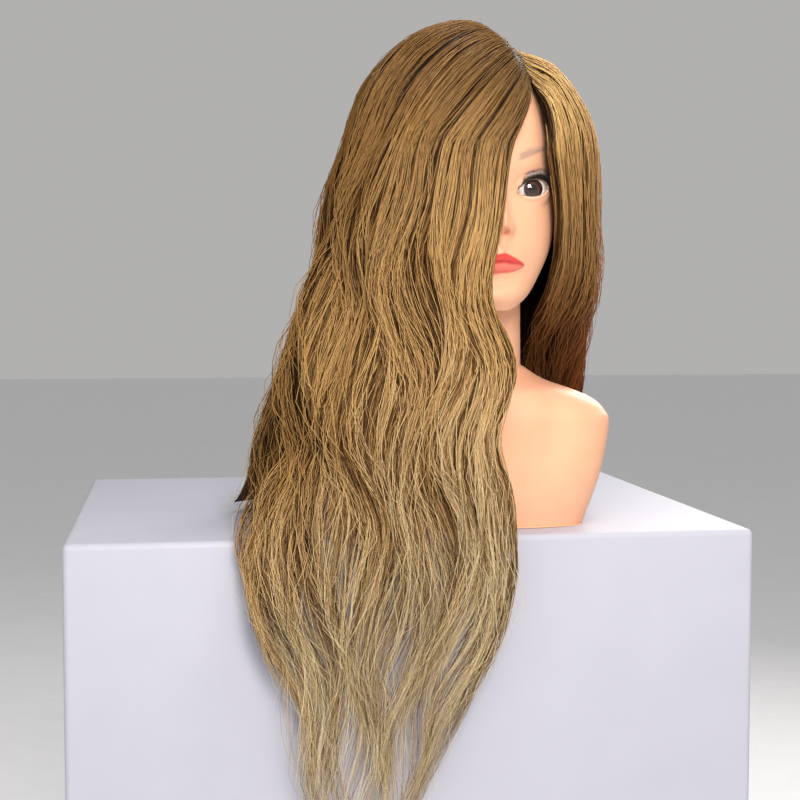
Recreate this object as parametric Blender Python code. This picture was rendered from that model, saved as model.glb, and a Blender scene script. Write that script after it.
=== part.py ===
"""Mannequin training head with shoulders and long hair, for hair salon and barber practice.

The object stands on the rim of its shoulder bust. A hollow vinyl skin makes the head, neck and shoulders.
A rigid foam core fills it, a board closes it from below, and a tube in the board takes the post of a stand.
Acrylic eyes sit in the skin, lash strips are glued to the lids, and the hair hangs from a scalp cap.

Frame: metres, +Z up, the mannequin faces -Y and its own left hand is at +X.
The origin is the middle of the base, on the plane that the rim of the bust rests on.
"""

import math

import bmesh
import bpy
from mathutils import Matrix, Vector

# ---------------------------------------------------------------- driving sizes
WALL = 0.003  # vinyl skin
BASE_HALF_WIDTH = 0.106
SHOULDER_HALF_WIDTH = 0.129
CHEST_DEPTH = 0.060  # neck axis to the front of the chest
BACK_DEPTH = 0.058  # neck axis to the back
SHOULDER_HEIGHT = 0.082  # the widest level of the shoulders
NECK_ROOT_HEIGHT = 0.132  # where the shoulders have become the neck
NECK_HALF_WIDTH = 0.049
NECK_HALF_DEPTH = 0.047
NECK_LEAN = 0.012  # the neck's top sits this far in front of its root
CHIN_HEIGHT = 0.177
HEAD_TURN = math.radians(7.5)  # the face looks a little towards the left shoulder

# The cranium is half an ellipsoid. Its equator is level with the top of the ears.
EQUATOR_HEIGHT = 0.300
CRANIUM_HALF_WIDTH = 0.0735
CRANIUM_HALF_LENGTH = 0.0925
CRANIUM_RISE = 0.095
CRANIUM_FORWARD = 0.0175  # the cranium's middle is this far in front of the neck axis

# Features of the face, in the head's own frame, before it turns.
EYE_HALF_SPACING = 0.0310
EYE_HEIGHT = 0.2715
EYE_RADIUS = 0.0165  # outside of the clear dome
EYE_SETBACK = 0.0100  # from the brow back to the front of the eye
EYE_DEPTH = CRANIUM_FORWARD + CRANIUM_HALF_LENGTH - EYE_SETBACK - EYE_RADIUS
EYE_GAP = 0.0003
EYE_HALF_OPENING = 0.0138
EYE_UPPER_OPENING = 0.0078
EYE_LOWER_OPENING = 0.0064
EYE_TILT = 0.12  # rise of the outer corner, per unit of width
LID_THICKNESS = 0.0014
DOME_THICKNESS = 0.0007
EYE_WHITE_WALL = 0.0012
IRIS_RADIUS = 0.0072
IRIS_THICKNESS = 0.0008
LASH_GAP = 0.0014  # between the lid and the strip, filled by glue
LASH_LENGTH = 0.0075
LASH_THICKNESS = 0.0006
NOSE_HEIGHT = 0.243
NOSE_RISE = 0.0145
MOUTH_HEIGHT = 0.2140
MOUTH_HALF_WIDTH = 0.0250

# Base board, and the tube that takes the post of a stand.
SKIN_GAP = 0.0006  # between the skin and the board
CORE_GAP = 0.0030  # between the skin and the foam, filled by adhesive
FIT_GAP = 0.0004  # between rigid pieces
BOARD_THICKNESS = 0.005
FLANGE_THICKNESS = 0.003
FLANGE_RADIUS = 0.030
SOCKET_RADIUS = 0.0140  # inside of the tube
SOCKET_WALL = 0.0025
SOCKET_LENGTH = 0.075
SCREW_COUNT = 4
SCREW_CIRCLE = 0.0235
SCREW_RADIUS = 0.0015
SCREW_HEAD_RADIUS = 0.0032
SCREW_HEAD_HEIGHT = 0.0020
SCREW_LENGTH = 0.014
SCREW_HEAD_CLEARANCE = 0.0012  # the heads stay this far above the resting plane

# Scalp cap and hair.
CAP_GAP = 0.0005
CAP_THICKNESS = 0.0012
HAIR_GAP = 0.0010  # between the cap and the hair's underside
ROOT_THICKNESS = 0.0100
FALL_THICKNESS = 0.0190
FACE_THICKNESS = 0.0090  # the two locks that frame the face are thinner
TIP_THICKNESS = 0.0100
LOCK_GAP = 0.053 * FALL_THICKNESS  # between neighbouring sections of hair
PART_OFFSET = 0.028  # the parting runs over the left eye
PART_HALF_WIDTH = 0.0026
FACET_ALLOWANCE = 0.0032  # flat facets cut inside the curves that they follow
TABLE_CLEARANCE = 0.0025  # hair that lies beside the bust stays above its resting plane

CUTTER_REACH = 0.010  # how far cutters start below the base
POCKET_TWIST = (0.3, 0.15, 0.4)  # keeps the ball's facets off the skin's own rows
POCKET_ALLOWANCE = 1.03  # a faceted ball has to be this much larger to clear the eye

# Mesh fineness.
SKIN_COLUMNS = 60
SKIN_HEAD_ROWS = 42  # close enough for the lids to follow the eyeballs
CORE_COLUMNS = 24
CAP_COLUMNS = 32
ROUND_STEPS = 20
EYE_STEPS = 16
SCREW_STEPS = 10
LOCK_ROWS = 26
LOCK_COLUMNS = 3

FLANGE_BOTTOM = SCREW_HEAD_CLEARANCE + SCREW_HEAD_HEIGHT + FIT_GAP
FLANGE_TOP = FLANGE_BOTTOM + FLANGE_THICKNESS
BOARD_BOTTOM = FLANGE_TOP + FIT_GAP
BOARD_TOP = BOARD_BOTTOM + BOARD_THICKNESS
CORE_BOTTOM = BOARD_TOP + FIT_GAP
SKULL_CENTRE = Vector((0, -CRANIUM_FORWARD, EQUATOR_HEIGHT))


# ---------------------------------------------------------------- scene and mesh helpers
def clear_scene():
    """Remove every object that the file starts with."""
    for obj in list(bpy.data.objects):
        bpy.data.objects.remove(obj, do_unlink=True)


def material(name, colour, roughness, metallic=0.0):
    """A plain Principled material, made once for each name."""
    found = bpy.data.materials.get(name)
    if found:
        return found
    made = bpy.data.materials.new(name)
    made.use_nodes = True
    shader = made.node_tree.nodes["Principled BSDF"]
    shader.inputs["Base Color"].default_value = (*colour, 1.0)
    shader.inputs["Roughness"].default_value = roughness
    shader.inputs["Metallic"].default_value = metallic
    return made


def vinyl():
    return material("vinyl_skin", (0.84, 0.52, 0.36), 0.42)


def foam():
    return material("rigid_foam", (0.86, 0.82, 0.70), 0.90)


def board():
    return material("base_board", (0.10, 0.09, 0.09), 0.60)


def black_plastic():
    return material("black_plastic", (0.03, 0.03, 0.03), 0.45)


def screw_steel():
    return material("screw_steel", (0.55, 0.55, 0.56), 0.35, 1.0)


def add_object(name, bm, made_of):
    """A new object that holds the bmesh, with its faces pointing out and its round sides smooth."""
    bmesh.ops.recalc_face_normals(bm, faces=bm.faces)
    mesh = bpy.data.meshes.new(name)
    bm.to_mesh(mesh)
    bm.free()
    mesh.shade_smooth()
    mesh.set_sharp_from_angle(angle=math.radians(40))
    mesh.materials.append(made_of)
    obj = bpy.data.objects.new(name, mesh)
    bpy.context.scene.collection.objects.link(obj)
    return obj


def as_cutter(obj):
    """Keep an object as a guide for Booleans only."""
    obj.hide_render = True
    obj.display_type = "WIRE"
    return obj


def boolean(obj, other, operation="DIFFERENCE"):
    """Cut another object from this one, or join it."""
    modifier = obj.modifiers.new(operation.lower(), "BOOLEAN")
    modifier.operation = operation
    modifier.object = other
    modifier.solver = "EXACT"


def loft(rings, cap_first=True, cap_last=True):
    """A bmesh through rings of points that all have the same count. A ring of one point is a pole."""
    bm = bmesh.new()
    rows = [[bm.verts.new(point) for point in ring] for ring in rings]
    for lower, upper in zip(rows, rows[1:]):
        count = max(len(lower), len(upper))
        for i in range(count):
            j = (i + 1) % count
            if len(upper) == 1:
                bm.faces.new((lower[i], lower[j], upper[0]))
            elif len(lower) == 1:
                bm.faces.new((lower[0], upper[j], upper[i]))
            else:
                bm.faces.new((lower[i], lower[j], upper[j], upper[i]))
    if cap_first and len(rows[0]) > 1:
        bm.faces.new(list(reversed(rows[0])))
    if cap_last and len(rows[-1]) > 1:
        bm.faces.new(rows[-1])
    return bm


def turned(profile, steps=ROUND_STEPS):
    """A bmesh turned about Z from (radius, z) points. A closed loop of points makes a ring or a tube."""
    bm = bmesh.new()
    rows = []
    for k in range(steps):
        angle = 2 * math.pi * k / steps
        rows.append([bm.verts.new((r * math.cos(angle), r * math.sin(angle), z)) for r, z in profile])
    for k in range(steps):
        near, far = rows[k], rows[(k + 1) % steps]
        for i in range(len(profile)):
            j = (i + 1) % len(profile)
            bm.faces.new((near[i], near[j], far[j], far[i]))
    bmesh.ops.remove_doubles(bm, verts=bm.verts, dist=1e-6)
    return bm


def mix(a, b, share):
    return a + (b - a) * share


def smooth_share(value, start, end):
    """0 before start, 1 after end, and an S-curve between them."""
    share = min(1.0, max(0.0, (value - start) / (end - start)))
    return share * share * (3 - 2 * share)


def through(points, at):
    """The Catmull-Rom curve through points, which are Vectors, at a place counted in points."""
    last = len(points) - 1
    k = min(max(int(at), 0), last - 1)
    t = at - k
    p1, p2 = points[k], points[k + 1]
    p0 = points[k - 1] if k > 0 else p1 * 2 - p2
    p3 = points[k + 2] if k + 2 <= last else p2 * 2 - p1
    return 0.5 * (
        p1 * 2 + (p2 - p0) * t + (p0 * 2 - p1 * 5 + p2 * 4 - p3) * t**2 + (p1 * 3 - p0 - p2 * 3 + p3) * t**3
    )


def turned_head(point):
    """A point of the head's own frame, turned about the neck axis with the head."""
    return Matrix.Rotation(HEAD_TURN, 3, "Z") @ point


# ---------------------------------------------------------------- the skin's surface
def oval(angle, half_width, front, back, middle, exponent):
    """A point of a rounded outline. Angle 0 is the front, and it grows towards +X."""
    across, along = math.sin(angle), math.cos(angle)
    x = half_width * math.copysign(abs(across) ** (2 / exponent), across)
    reach = middle - front if along > 0 else back - middle
    y = middle - math.copysign(abs(along) ** (2 / exponent), along) * reach
    return x, y


def bust_rings():
    """Stations from the base rim to the neck: height, half width, front, back, exponent."""
    neck_front, neck_back = -NECK_HALF_DEPTH + 0.002, NECK_HALF_DEPTH + 0.004
    slope = NECK_ROOT_HEIGHT - SHOULDER_HEIGHT
    chest, back = -CHEST_DEPTH, BACK_DEPTH
    shares = (  # share of the shoulder slope's height, of its width, of its depth, exponent
        (0.00, 1.00, 1.00, 2.7),
        (0.24, 0.955, 0.97, 2.5),
        (0.42, 0.84, 0.90, 2.3),
        (0.58, 0.62, 0.74, 2.2),
        (0.76, 0.30, 0.40, 2.1),
        (1.00, 0.06, 0.06, 2.0),
    )
    rings = [
        Vector((0.0, BASE_HALF_WIDTH - 0.0012, chest + 0.0072, back - 0.0062, 3.4)),
        Vector((0.003, BASE_HALF_WIDTH, chest + 0.006, back - 0.005, 3.4)),
        Vector((SHOULDER_HEIGHT * 0.5, mix(BASE_HALF_WIDTH, SHOULDER_HALF_WIDTH, 0.62), chest, back, 3.1)),
    ]
    for rise, width, depth, exponent in shares:
        rings.append(
            Vector(
                (
                    SHOULDER_HEIGHT + slope * rise,
                    mix(NECK_HALF_WIDTH, SHOULDER_HALF_WIDTH, width),
                    mix(neck_front, chest, depth),
                    mix(neck_back, back, depth),
                    exponent,
                )
            )
        )
    return rings


BUST_RINGS = bust_rings()


def bust_point(angle, at):
    """The bust's skin at an angle and at a place counted in stations."""
    z, half_width, front, back, exponent = through(BUST_RINGS, at)
    x, y = oval(angle, half_width, front, back, 0.0, exponent)
    return Vector((x, y, z))


def face_rings():
    """Stations from the chin to the equator: height, half width, front, back, middle, exponent."""
    fore = CRANIUM_FORWARD
    front = fore + CRANIUM_HALF_LENGTH
    rise = EQUATOR_HEIGHT - CHIN_HEIGHT
    wide = CRANIUM_HALF_WIDTH
    rows = (  # share of height, half width, front and back from the cranium's, middle, exponent
        (0.00, wide - 0.0410, 0.0160, 0.040, -0.040, 2.0),
        (0.10, wide - 0.0300, 0.0095, 0.036, -0.038, 1.95),
        (0.24, wide - 0.0190, 0.0110, 0.032, -0.036, 2.0),
        (0.38, wide - 0.0105, 0.0080, 0.026, -0.032, 2.05),
        (0.54, wide - 0.0045, 0.0060, 0.018, -0.028, 2.1),
        (0.70, wide - 0.0015, 0.0045, 0.010, -0.024, 2.15),
        (0.85, wide - 0.0005, 0.0025, 0.004, -0.020, 2.1),
        (1.00, wide, 0.0, 0.0, -fore, 2.0),
    )
    rear = CRANIUM_HALF_LENGTH - fore
    return [
        Vector((CHIN_HEIGHT + rise * up, half, -front + less_front, rear - less_back, middle, n))
        for up, half, less_front, less_back, middle, n in rows
    ]


FACE_RINGS = face_rings()
FACE_STATIONS = len(FACE_RINGS) - 1
CROWN_STATIONS = 6
HEAD_STATIONS = FACE_STATIONS + CROWN_STATIONS


def jaw_station(angle):
    """Where the head starts above the neck: the chin in front, then the jaw's corners, and the nape."""
    return 2.5 * smooth_share(abs(angle), 0.35, 1.75) + 0.5 * smooth_share(abs(angle), 1.9, 3.0)


def head_outline(angle, at):
    """The head without its features, in its own frame, at an angle and a place counted in stations."""
    if at <= FACE_STATIONS:
        z, half_width, front, back, middle, exponent = through(FACE_RINGS, at)
        x, y = oval(angle, half_width, front, back, middle, exponent)
        return Vector((x, y, z))
    tilt = (at - FACE_STATIONS) / CROWN_STATIONS * math.pi / 2
    across = Vector((math.sin(angle) * CRANIUM_HALF_WIDTH, -math.cos(angle) * CRANIUM_HALF_LENGTH, 0))
    return SKULL_CENTRE + across * math.cos(tilt) + Vector((0, 0, CRANIUM_RISE * math.sin(tilt)))


def bump(value, width):
    return math.exp(-((value / width) ** 2))


def face_relief(point):
    """Push a point of the face out for the nose, lips and lids, and in for the eye sockets."""
    x, y, z = point
    socket = 0.0065 * bump(abs(x) - EYE_HALF_SPACING + 0.003, 0.016) * bump(z - EYE_HEIGHT - 0.002, 0.0115)
    above = z - NOSE_HEIGHT
    nose = NOSE_RISE * bump(above, 0.021 if above > 0 else 0.0065) * bump(x, 0.0072)
    wings = 0.0045 * bump(abs(x) - 0.0085, 0.0045) * bump(z - NOSE_HEIGHT + 0.004, 0.0055)
    lips_fade = math.sqrt(max(0.0, 1 - (x / MOUTH_HALF_WIDTH) ** 2))
    upper_lip = 0.0030 * bump(z - MOUTH_HEIGHT - 0.0042, 0.0040)
    lower_lip = 0.0042 * bump(z - MOUTH_HEIGHT + 0.0050, 0.0048)
    y += socket - nose - wings - lips_fade * (upper_lip + lower_lip)
    aside, up = abs(x) - EYE_HALF_SPACING, z - EYE_HEIGHT
    lid = EYE_RADIUS + EYE_GAP + LID_THICKNESS
    inside = lid**2 - aside**2 - up**2
    if inside > 0:
        y = min(y, -EYE_DEPTH - math.sqrt(inside))
    return Vector((x, y, z))


def head_point(angle, at, relief=True):
    """The finished skin of the head, in its own frame."""
    point = head_outline(angle, at)
    if relief and abs(angle) < math.pi / 2 and at < HEAD_STATIONS - 1:
        point = face_relief(point)
    return point


def neck_point(angle, share):
    """The neck, from the bust's last station to just below the jaw, leaning forward as it rises."""
    root = bust_point(angle, len(BUST_RINGS) - 1)
    jaw = head_outline(angle, jaw_station(angle))
    x, y = oval(angle, NECK_HALF_WIDTH, -NECK_HALF_DEPTH, NECK_HALF_DEPTH, 0.0, 2.0)
    top = turned_head(Vector((x, y - NECK_LEAN, jaw.z - 0.011)))
    return root.lerp(top, share)


def under_jaw_point(angle, share):
    """The curved underside between the neck and the jaw line."""
    neck = neck_point(angle, 1.0)
    jaw = turned_head(head_outline(angle, jaw_station(angle)))
    corner = Vector((mix(neck.x, jaw.x, 0.10), mix(neck.y, jaw.y, 0.10), mix(neck.z, jaw.z, 0.75)))
    return neck.lerp(corner, share).lerp(corner.lerp(jaw, share), share)


def skin_angles(columns):
    """Angles round the figure, closer together over the face."""
    even = [2 * math.pi * i / columns - math.pi for i in range(columns)]
    return [a - 0.55 * math.sin(a) for a in even]


def skin_rings(columns, bust_rows, neck_rows, jaw_rows, head_rows, relief=True):
    """Rings of the whole skin from the base to the crown, then its pole."""
    angles = skin_angles(columns)
    last = len(BUST_RINGS) - 1
    rings = [[bust_point(a, last * k / bust_rows) for a in angles] for k in range(bust_rows + 1)]
    rings += [[neck_point(a, k / neck_rows) for a in angles] for k in range(1, neck_rows + 1)]
    rings += [[under_jaw_point(a, k / jaw_rows) for a in angles] for k in range(1, jaw_rows + 1)]
    for k in range(1, head_rows):
        places = [mix(jaw_station(a), HEAD_STATIONS, k / head_rows) for a in angles]
        rings.append([turned_head(head_point(a, at, relief)) for a, at in zip(angles, places)])
    rings.append([turned_head(SKULL_CENTRE + Vector((0, 0, CRANIUM_RISE)))])
    return rings


# ---------------------------------------------------------------- eyes
def eye_centre(side):
    """The eyeball's centre. Side is 1 for the mannequin's left eye and -1 for its right."""
    return turned_head(Vector((side * EYE_HALF_SPACING, -EYE_DEPTH, EYE_HEIGHT)))


def lid_edge(share, upper):
    """A point of the eye opening, as (across, up) from its middle. Share runs from -1 to 1."""
    across = EYE_HALF_OPENING * share
    height = EYE_UPPER_OPENING if upper else -EYE_LOWER_OPENING
    return across, height * (1 - share**2) ** 0.75


def eye_frame(side):
    """Place that turns +Z into the direction in which the eye looks, with +Y up."""
    look = Matrix.Rotation(HEAD_TURN, 4, "Z") @ Matrix.Rotation(math.radians(90), 4, "X")
    return Matrix.Translation(eye_centre(side)) @ look


def eye_opening_cutter(side, steps=12):
    """A prism through the skin, with the almond outline of the lids."""
    shares = [math.sin(math.pi * (k / steps - 0.5)) for k in range(steps + 1)]
    outline = [lid_edge(s, True) for s in shares]
    outline += [lid_edge(s, False) for s in reversed(shares[1:-1])]
    rings = []
    for depth in (EYE_RADIUS * 0.45, EYE_RADIUS * 1.6):
        rings.append([(x, y + EYE_TILT * x * side, depth) for x, y in outline])
    name = "eye_opening_cutter_left" if side > 0 else "eye_opening_cutter_right"
    cutter = add_object(name, loft(rings), vinyl())
    cutter.matrix_world = eye_frame(side)
    return as_cutter(cutter)


def eye_pocket_cutter(side, radius, name):
    """A ball that clears the eye from whatever is around it."""
    bm = bmesh.new()
    bmesh.ops.create_icosphere(bm, subdivisions=3, radius=radius * POCKET_ALLOWANCE)
    cutter = add_object(name, bm, vinyl())
    cutter.location = eye_centre(side)
    cutter.rotation_euler = POCKET_TWIST
    return as_cutter(cutter)


def dome_profile(outer, inner, start, end, steps):
    """(radius, z) loop of a spherical shell between two angles from the pole."""
    angles = [mix(start, end, k / steps) for k in range(steps + 1)]
    profile = [(outer * math.sin(a), outer * math.cos(a)) for a in angles]
    profile += [(inner * math.sin(a), inner * math.cos(a)) for a in reversed(angles)]
    return profile


def make_eye(side):
    """The white half-ball, the printed iris disc and the clear dome of one eye."""
    word = "left" if side > 0 else "right"
    white_radius = EYE_RADIUS - DOME_THICKNESS - EYE_GAP
    iris_angle = math.asin((IRIS_RADIUS + EYE_GAP) / (white_radius - EYE_WHITE_WALL))
    white = material("eye_white", (0.90, 0.88, 0.84), 0.25)
    iris_print = material("iris_print", (0.10, 0.045, 0.03), 0.35)
    clear = material("clear_acrylic", (0.98, 0.98, 0.98), 0.03)
    profile = dome_profile(white_radius, white_radius - EYE_WHITE_WALL, iris_angle, math.radians(84), 4)
    pieces = [add_object(f"{word}_eye_white", turned(profile, EYE_STEPS), white)]
    iris_front = white_radius * math.cos(iris_angle)
    disc = [(0.0, iris_front - IRIS_THICKNESS), (IRIS_RADIUS, iris_front - IRIS_THICKNESS)]
    disc += [(IRIS_RADIUS, iris_front), (0.0, iris_front)]
    pieces.append(add_object(f"{word}_iris", turned(disc, EYE_STEPS), iris_print))
    dome = dome_profile(EYE_RADIUS, EYE_RADIUS - DOME_THICKNESS, 0.0, math.radians(80), 5)
    pieces.append(add_object(f"{word}_eye_dome", turned(dome, EYE_STEPS), clear))
    for piece in pieces:
        piece.matrix_world = eye_frame(side)


def make_lash_strip(side, steps=10):
    """The strip of upper lashes, which follows the lid and sweeps out and up from it."""
    lid = EYE_RADIUS + EYE_GAP + LID_THICKNESS + LASH_GAP
    rings = []
    for k in range(steps + 1):
        share = mix(-0.93, 0.93, k / steps)
        across, up = lid_edge(share, True)
        up += EYE_TILT * across * side
        out = math.sqrt(lid**2 - across**2 - up**2)
        root = Vector((across, up, out))
        sweep = Vector((across * 18, 9 + up * 12, 13)).normalized()
        tip = root + sweep * LASH_LENGTH * mix(0.65, 1.0, 1 - share**2)
        thick = (tip - root).cross(Vector((1, 0, 0))).normalized() * -LASH_THICKNESS
        rings.append([root, tip, tip + thick * 0.5, root + thick])
    word = "left" if side > 0 else "right"
    strip = add_object(f"{word}_lash_strip", loft(rings), material("lash_fibre", (0.015, 0.012, 0.012), 0.5))
    strip.matrix_world = eye_frame(side)


# ---------------------------------------------------------------- skin, core and base
def set_in_surface(inward):
    """The skin's surface in coarse facets, moved in by a distance and open below."""
    rings = skin_rings(CORE_COLUMNS, bust_rows=9, neck_rows=2, jaw_rows=2, head_rows=11, relief=False)
    bm = loft(rings, cap_first=False)
    bmesh.ops.recalc_face_normals(bm, faces=bm.faces)
    bm.normal_update()
    moves = [(v, v.co - v.normal * inward) for v in bm.verts]
    for vert, place in moves:
        vert.co = place
    return bm


def inner_form(inward, bottom, top=None):
    """A closed form set in from the skin by a distance, cut level at the bottom and perhaps the top."""
    bm = set_in_surface(inward)
    for level, direction in ((bottom, 1), (top, -1)):
        if level is None:
            continue
        everything = bm.verts[:] + bm.edges[:] + bm.faces[:]
        bmesh.ops.bisect_plane(
            bm, geom=everything, plane_co=(0, 0, level), plane_no=(0, 0, direction), clear_inner=True
        )
        rim = [e for e in bm.edges if e.is_boundary and abs(e.verts[0].co.z - level) < FIT_GAP / 4]
        bmesh.ops.holes_fill(bm, edges=rim)
    return bm


def cavity_cutter():
    """The room inside the skin, open through the base."""
    bm = set_in_surface(WALL)
    rim = [e for e in bm.edges if e.is_boundary]
    grown = bmesh.ops.extrude_edge_only(bm, edges=rim)["geom"]
    for vert in (g for g in grown if isinstance(g, bmesh.types.BMVert)):
        vert.co.z = -WALL
    bmesh.ops.holes_fill(bm, edges=[e for e in bm.edges if e.is_boundary])
    return as_cutter(add_object("cavity_cutter", bm, vinyl()))


def make_skin(cutters):
    """The hollow vinyl skin of head, neck and shoulders, open below and at the eyes."""
    rings = skin_rings(SKIN_COLUMNS, bust_rows=11, neck_rows=3, jaw_rows=3, head_rows=SKIN_HEAD_ROWS)
    skin = add_object("bust_skin", loft(rings), vinyl())
    boolean(skin, cavity_cutter())
    for cutter in cutters:
        boolean(skin, cutter)


def hole_profile(radius, top):
    """Half the section of a round hole that starts below the base."""
    return [(0.0, -CUTTER_REACH), (radius, -CUTTER_REACH), (radius, top), (0.0, top)]


def socket_cutter(radius, top, name):
    """A round hole up from below the base."""
    return as_cutter(add_object(name, turned(hole_profile(radius, top)), black_plastic()))


def screw_places():
    """Centres of the flange screws, evenly round the socket."""
    places = []
    for k in range(SCREW_COUNT):
        angle = 2 * math.pi * (k + 0.5) / SCREW_COUNT
        places.append(Vector((SCREW_CIRCLE * math.cos(angle), SCREW_CIRCLE * math.sin(angle), 0)))
    return places


def screw_hole_cutters():
    """Clearance holes for the flange screws."""
    cutters = []
    profile = hole_profile(SCREW_RADIUS + FIT_GAP, FLANGE_BOTTOM + SCREW_LENGTH + FIT_GAP * 2)
    for k, place in enumerate(screw_places(), 1):
        cutter = add_object(f"screw_hole_cutter_{k}", turned(profile, SCREW_STEPS), board())
        cutter.location = place
        cutters.append(as_cutter(cutter))
    return cutters


def make_core(pockets, holes):
    """The rigid foam inside the skin, with a hole for the socket tube and room for the eyes."""
    core = add_object("foam_core", inner_form(WALL + CORE_GAP, CORE_BOTTOM), foam())
    outer = SOCKET_RADIUS + SOCKET_WALL + FIT_GAP
    boolean(core, socket_cutter(outer, FLANGE_BOTTOM + SOCKET_LENGTH + FIT_GAP, "core_socket_cutter"))
    for cutter in pockets + holes:
        boolean(core, cutter)


def make_base_board(holes):
    """The board that closes the skin from below, set up from the rim."""
    plate = add_object("base_board", inner_form(WALL + SKIN_GAP, BOARD_BOTTOM, BOARD_TOP), board())
    outer = SOCKET_RADIUS + SOCKET_WALL + FIT_GAP
    boolean(plate, socket_cutter(outer, BOARD_TOP + WALL, "board_socket_cutter"))
    for cutter in holes:
        boolean(plate, cutter)


def make_socket(holes):
    """The flanged tube that takes the post of a clamp or a tripod."""
    outer = SOCKET_RADIUS + SOCKET_WALL
    top = FLANGE_BOTTOM + SOCKET_LENGTH
    profile = [
        (SOCKET_RADIUS, FLANGE_BOTTOM),
        (FLANGE_RADIUS, FLANGE_BOTTOM),
        (FLANGE_RADIUS, FLANGE_TOP),
        (outer, FLANGE_TOP),
        (outer, top),
        (SOCKET_RADIUS, top),
    ]
    tube = add_object("socket_tube", turned(profile), black_plastic())
    for cutter in holes:
        boolean(tube, cutter)


def make_screws():
    """Screws that hold the flange to the board and the core, heads below."""
    head_bottom = FLANGE_BOTTOM - FIT_GAP / 2 - SCREW_HEAD_HEIGHT
    head_top = head_bottom + SCREW_HEAD_HEIGHT
    tip = FLANGE_BOTTOM + SCREW_LENGTH
    profile = [
        (0.0, head_bottom),
        (SCREW_HEAD_RADIUS * 0.7, head_bottom),
        (SCREW_HEAD_RADIUS, head_bottom + SCREW_HEAD_HEIGHT * 0.5),
        (SCREW_HEAD_RADIUS, head_top),
        (SCREW_RADIUS, head_top),
        (SCREW_RADIUS, tip - SCREW_RADIUS * 2),
        (0.0, tip),
    ]
    for k, place in enumerate(screw_places(), 1):
        screw = add_object(f"socket_screw_{k}", turned(profile, SCREW_STEPS), screw_steel())
        screw.location = place


# ---------------------------------------------------------------- scalp cap
def hairline_station(angle):
    """The cap's edge: high over the forehead, level with the ears at the sides, low at the nape."""
    front = FACE_STATIONS + CROWN_STATIONS * 0.40
    side = FACE_STATIONS + 0.1
    nape = FACE_STATIONS - 3.2
    back = (nape - side) * smooth_share(abs(angle), 1.6, 2.6)
    return front + (side - front) * smooth_share(abs(angle), 0.35, 1.3) + back


def make_scalp_cap(rows=9):
    """The thin cap over the skull that the hair is rooted in."""
    angles = [2 * math.pi * i / CAP_COLUMNS - math.pi for i in range(CAP_COLUMNS)]
    lift = CAP_GAP + FACET_ALLOWANCE / 2
    rings = []
    for k in range(rows):
        ring = []
        for a in angles:
            at = mix(hairline_station(a), HEAD_STATIONS, k / rows)
            point = head_outline(a, at)
            outward = (point - SKULL_CENTRE).normalized()
            ring.append(turned_head(point + outward * lift))
        rings.append(ring)
    rings.append([turned_head(SKULL_CENTRE + Vector((0, 0, CRANIUM_RISE + lift)))])
    cap = add_object("scalp_cap", loft(rings, cap_first=False), material("cap_net", (0.20, 0.13, 0.08), 0.8))
    shell = cap.modifiers.new("cloth", "SOLIDIFY")
    shell.thickness = CAP_THICKNESS
    shell.offset = 1


# ---------------------------------------------------------------- hair
# Each guide is the middle of the hair's thickness along one lock's edge. It leaves the parting at
# (side, elevation in degrees from the front), crosses the skull's equator at an angle, and then falls
# through points chosen by hand. Every group of guides is one sheet of hair, cut into locks between guides.
SHOULDER = SHOULDER_HALF_WIDTH
FRONT = CRANIUM_FORWARD + CRANIUM_HALF_LENGTH  # the brow
REAR = BACK_DEPTH
FLAT = TABLE_CLEARANCE + TIP_THICKNESS / 2 + 0.001  # the middle of hair that lies beside the bust
FALL_LEVELS = (0.245, 0.190, 0.135, 0.080, 0.030, -0.030, -0.100, -0.170, -0.235)


def hanging(*places):
    """Points at the fall levels, for a lock that hangs all the way down in front."""
    return [Vector((x, y, z)) for (x, y), z in zip(places, FALL_LEVELS)]


def lying(fall, rest):
    """Points of a lock that falls at the first levels and then lies flat."""
    return hanging(*fall) + [Vector((x, y, FLAT)) for x, y in rest]


def placed(fall, rest):
    """Points of a lock that falls at the first levels and then goes through points of its own."""
    return hanging(*fall) + [Vector(point) for point in rest]


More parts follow.
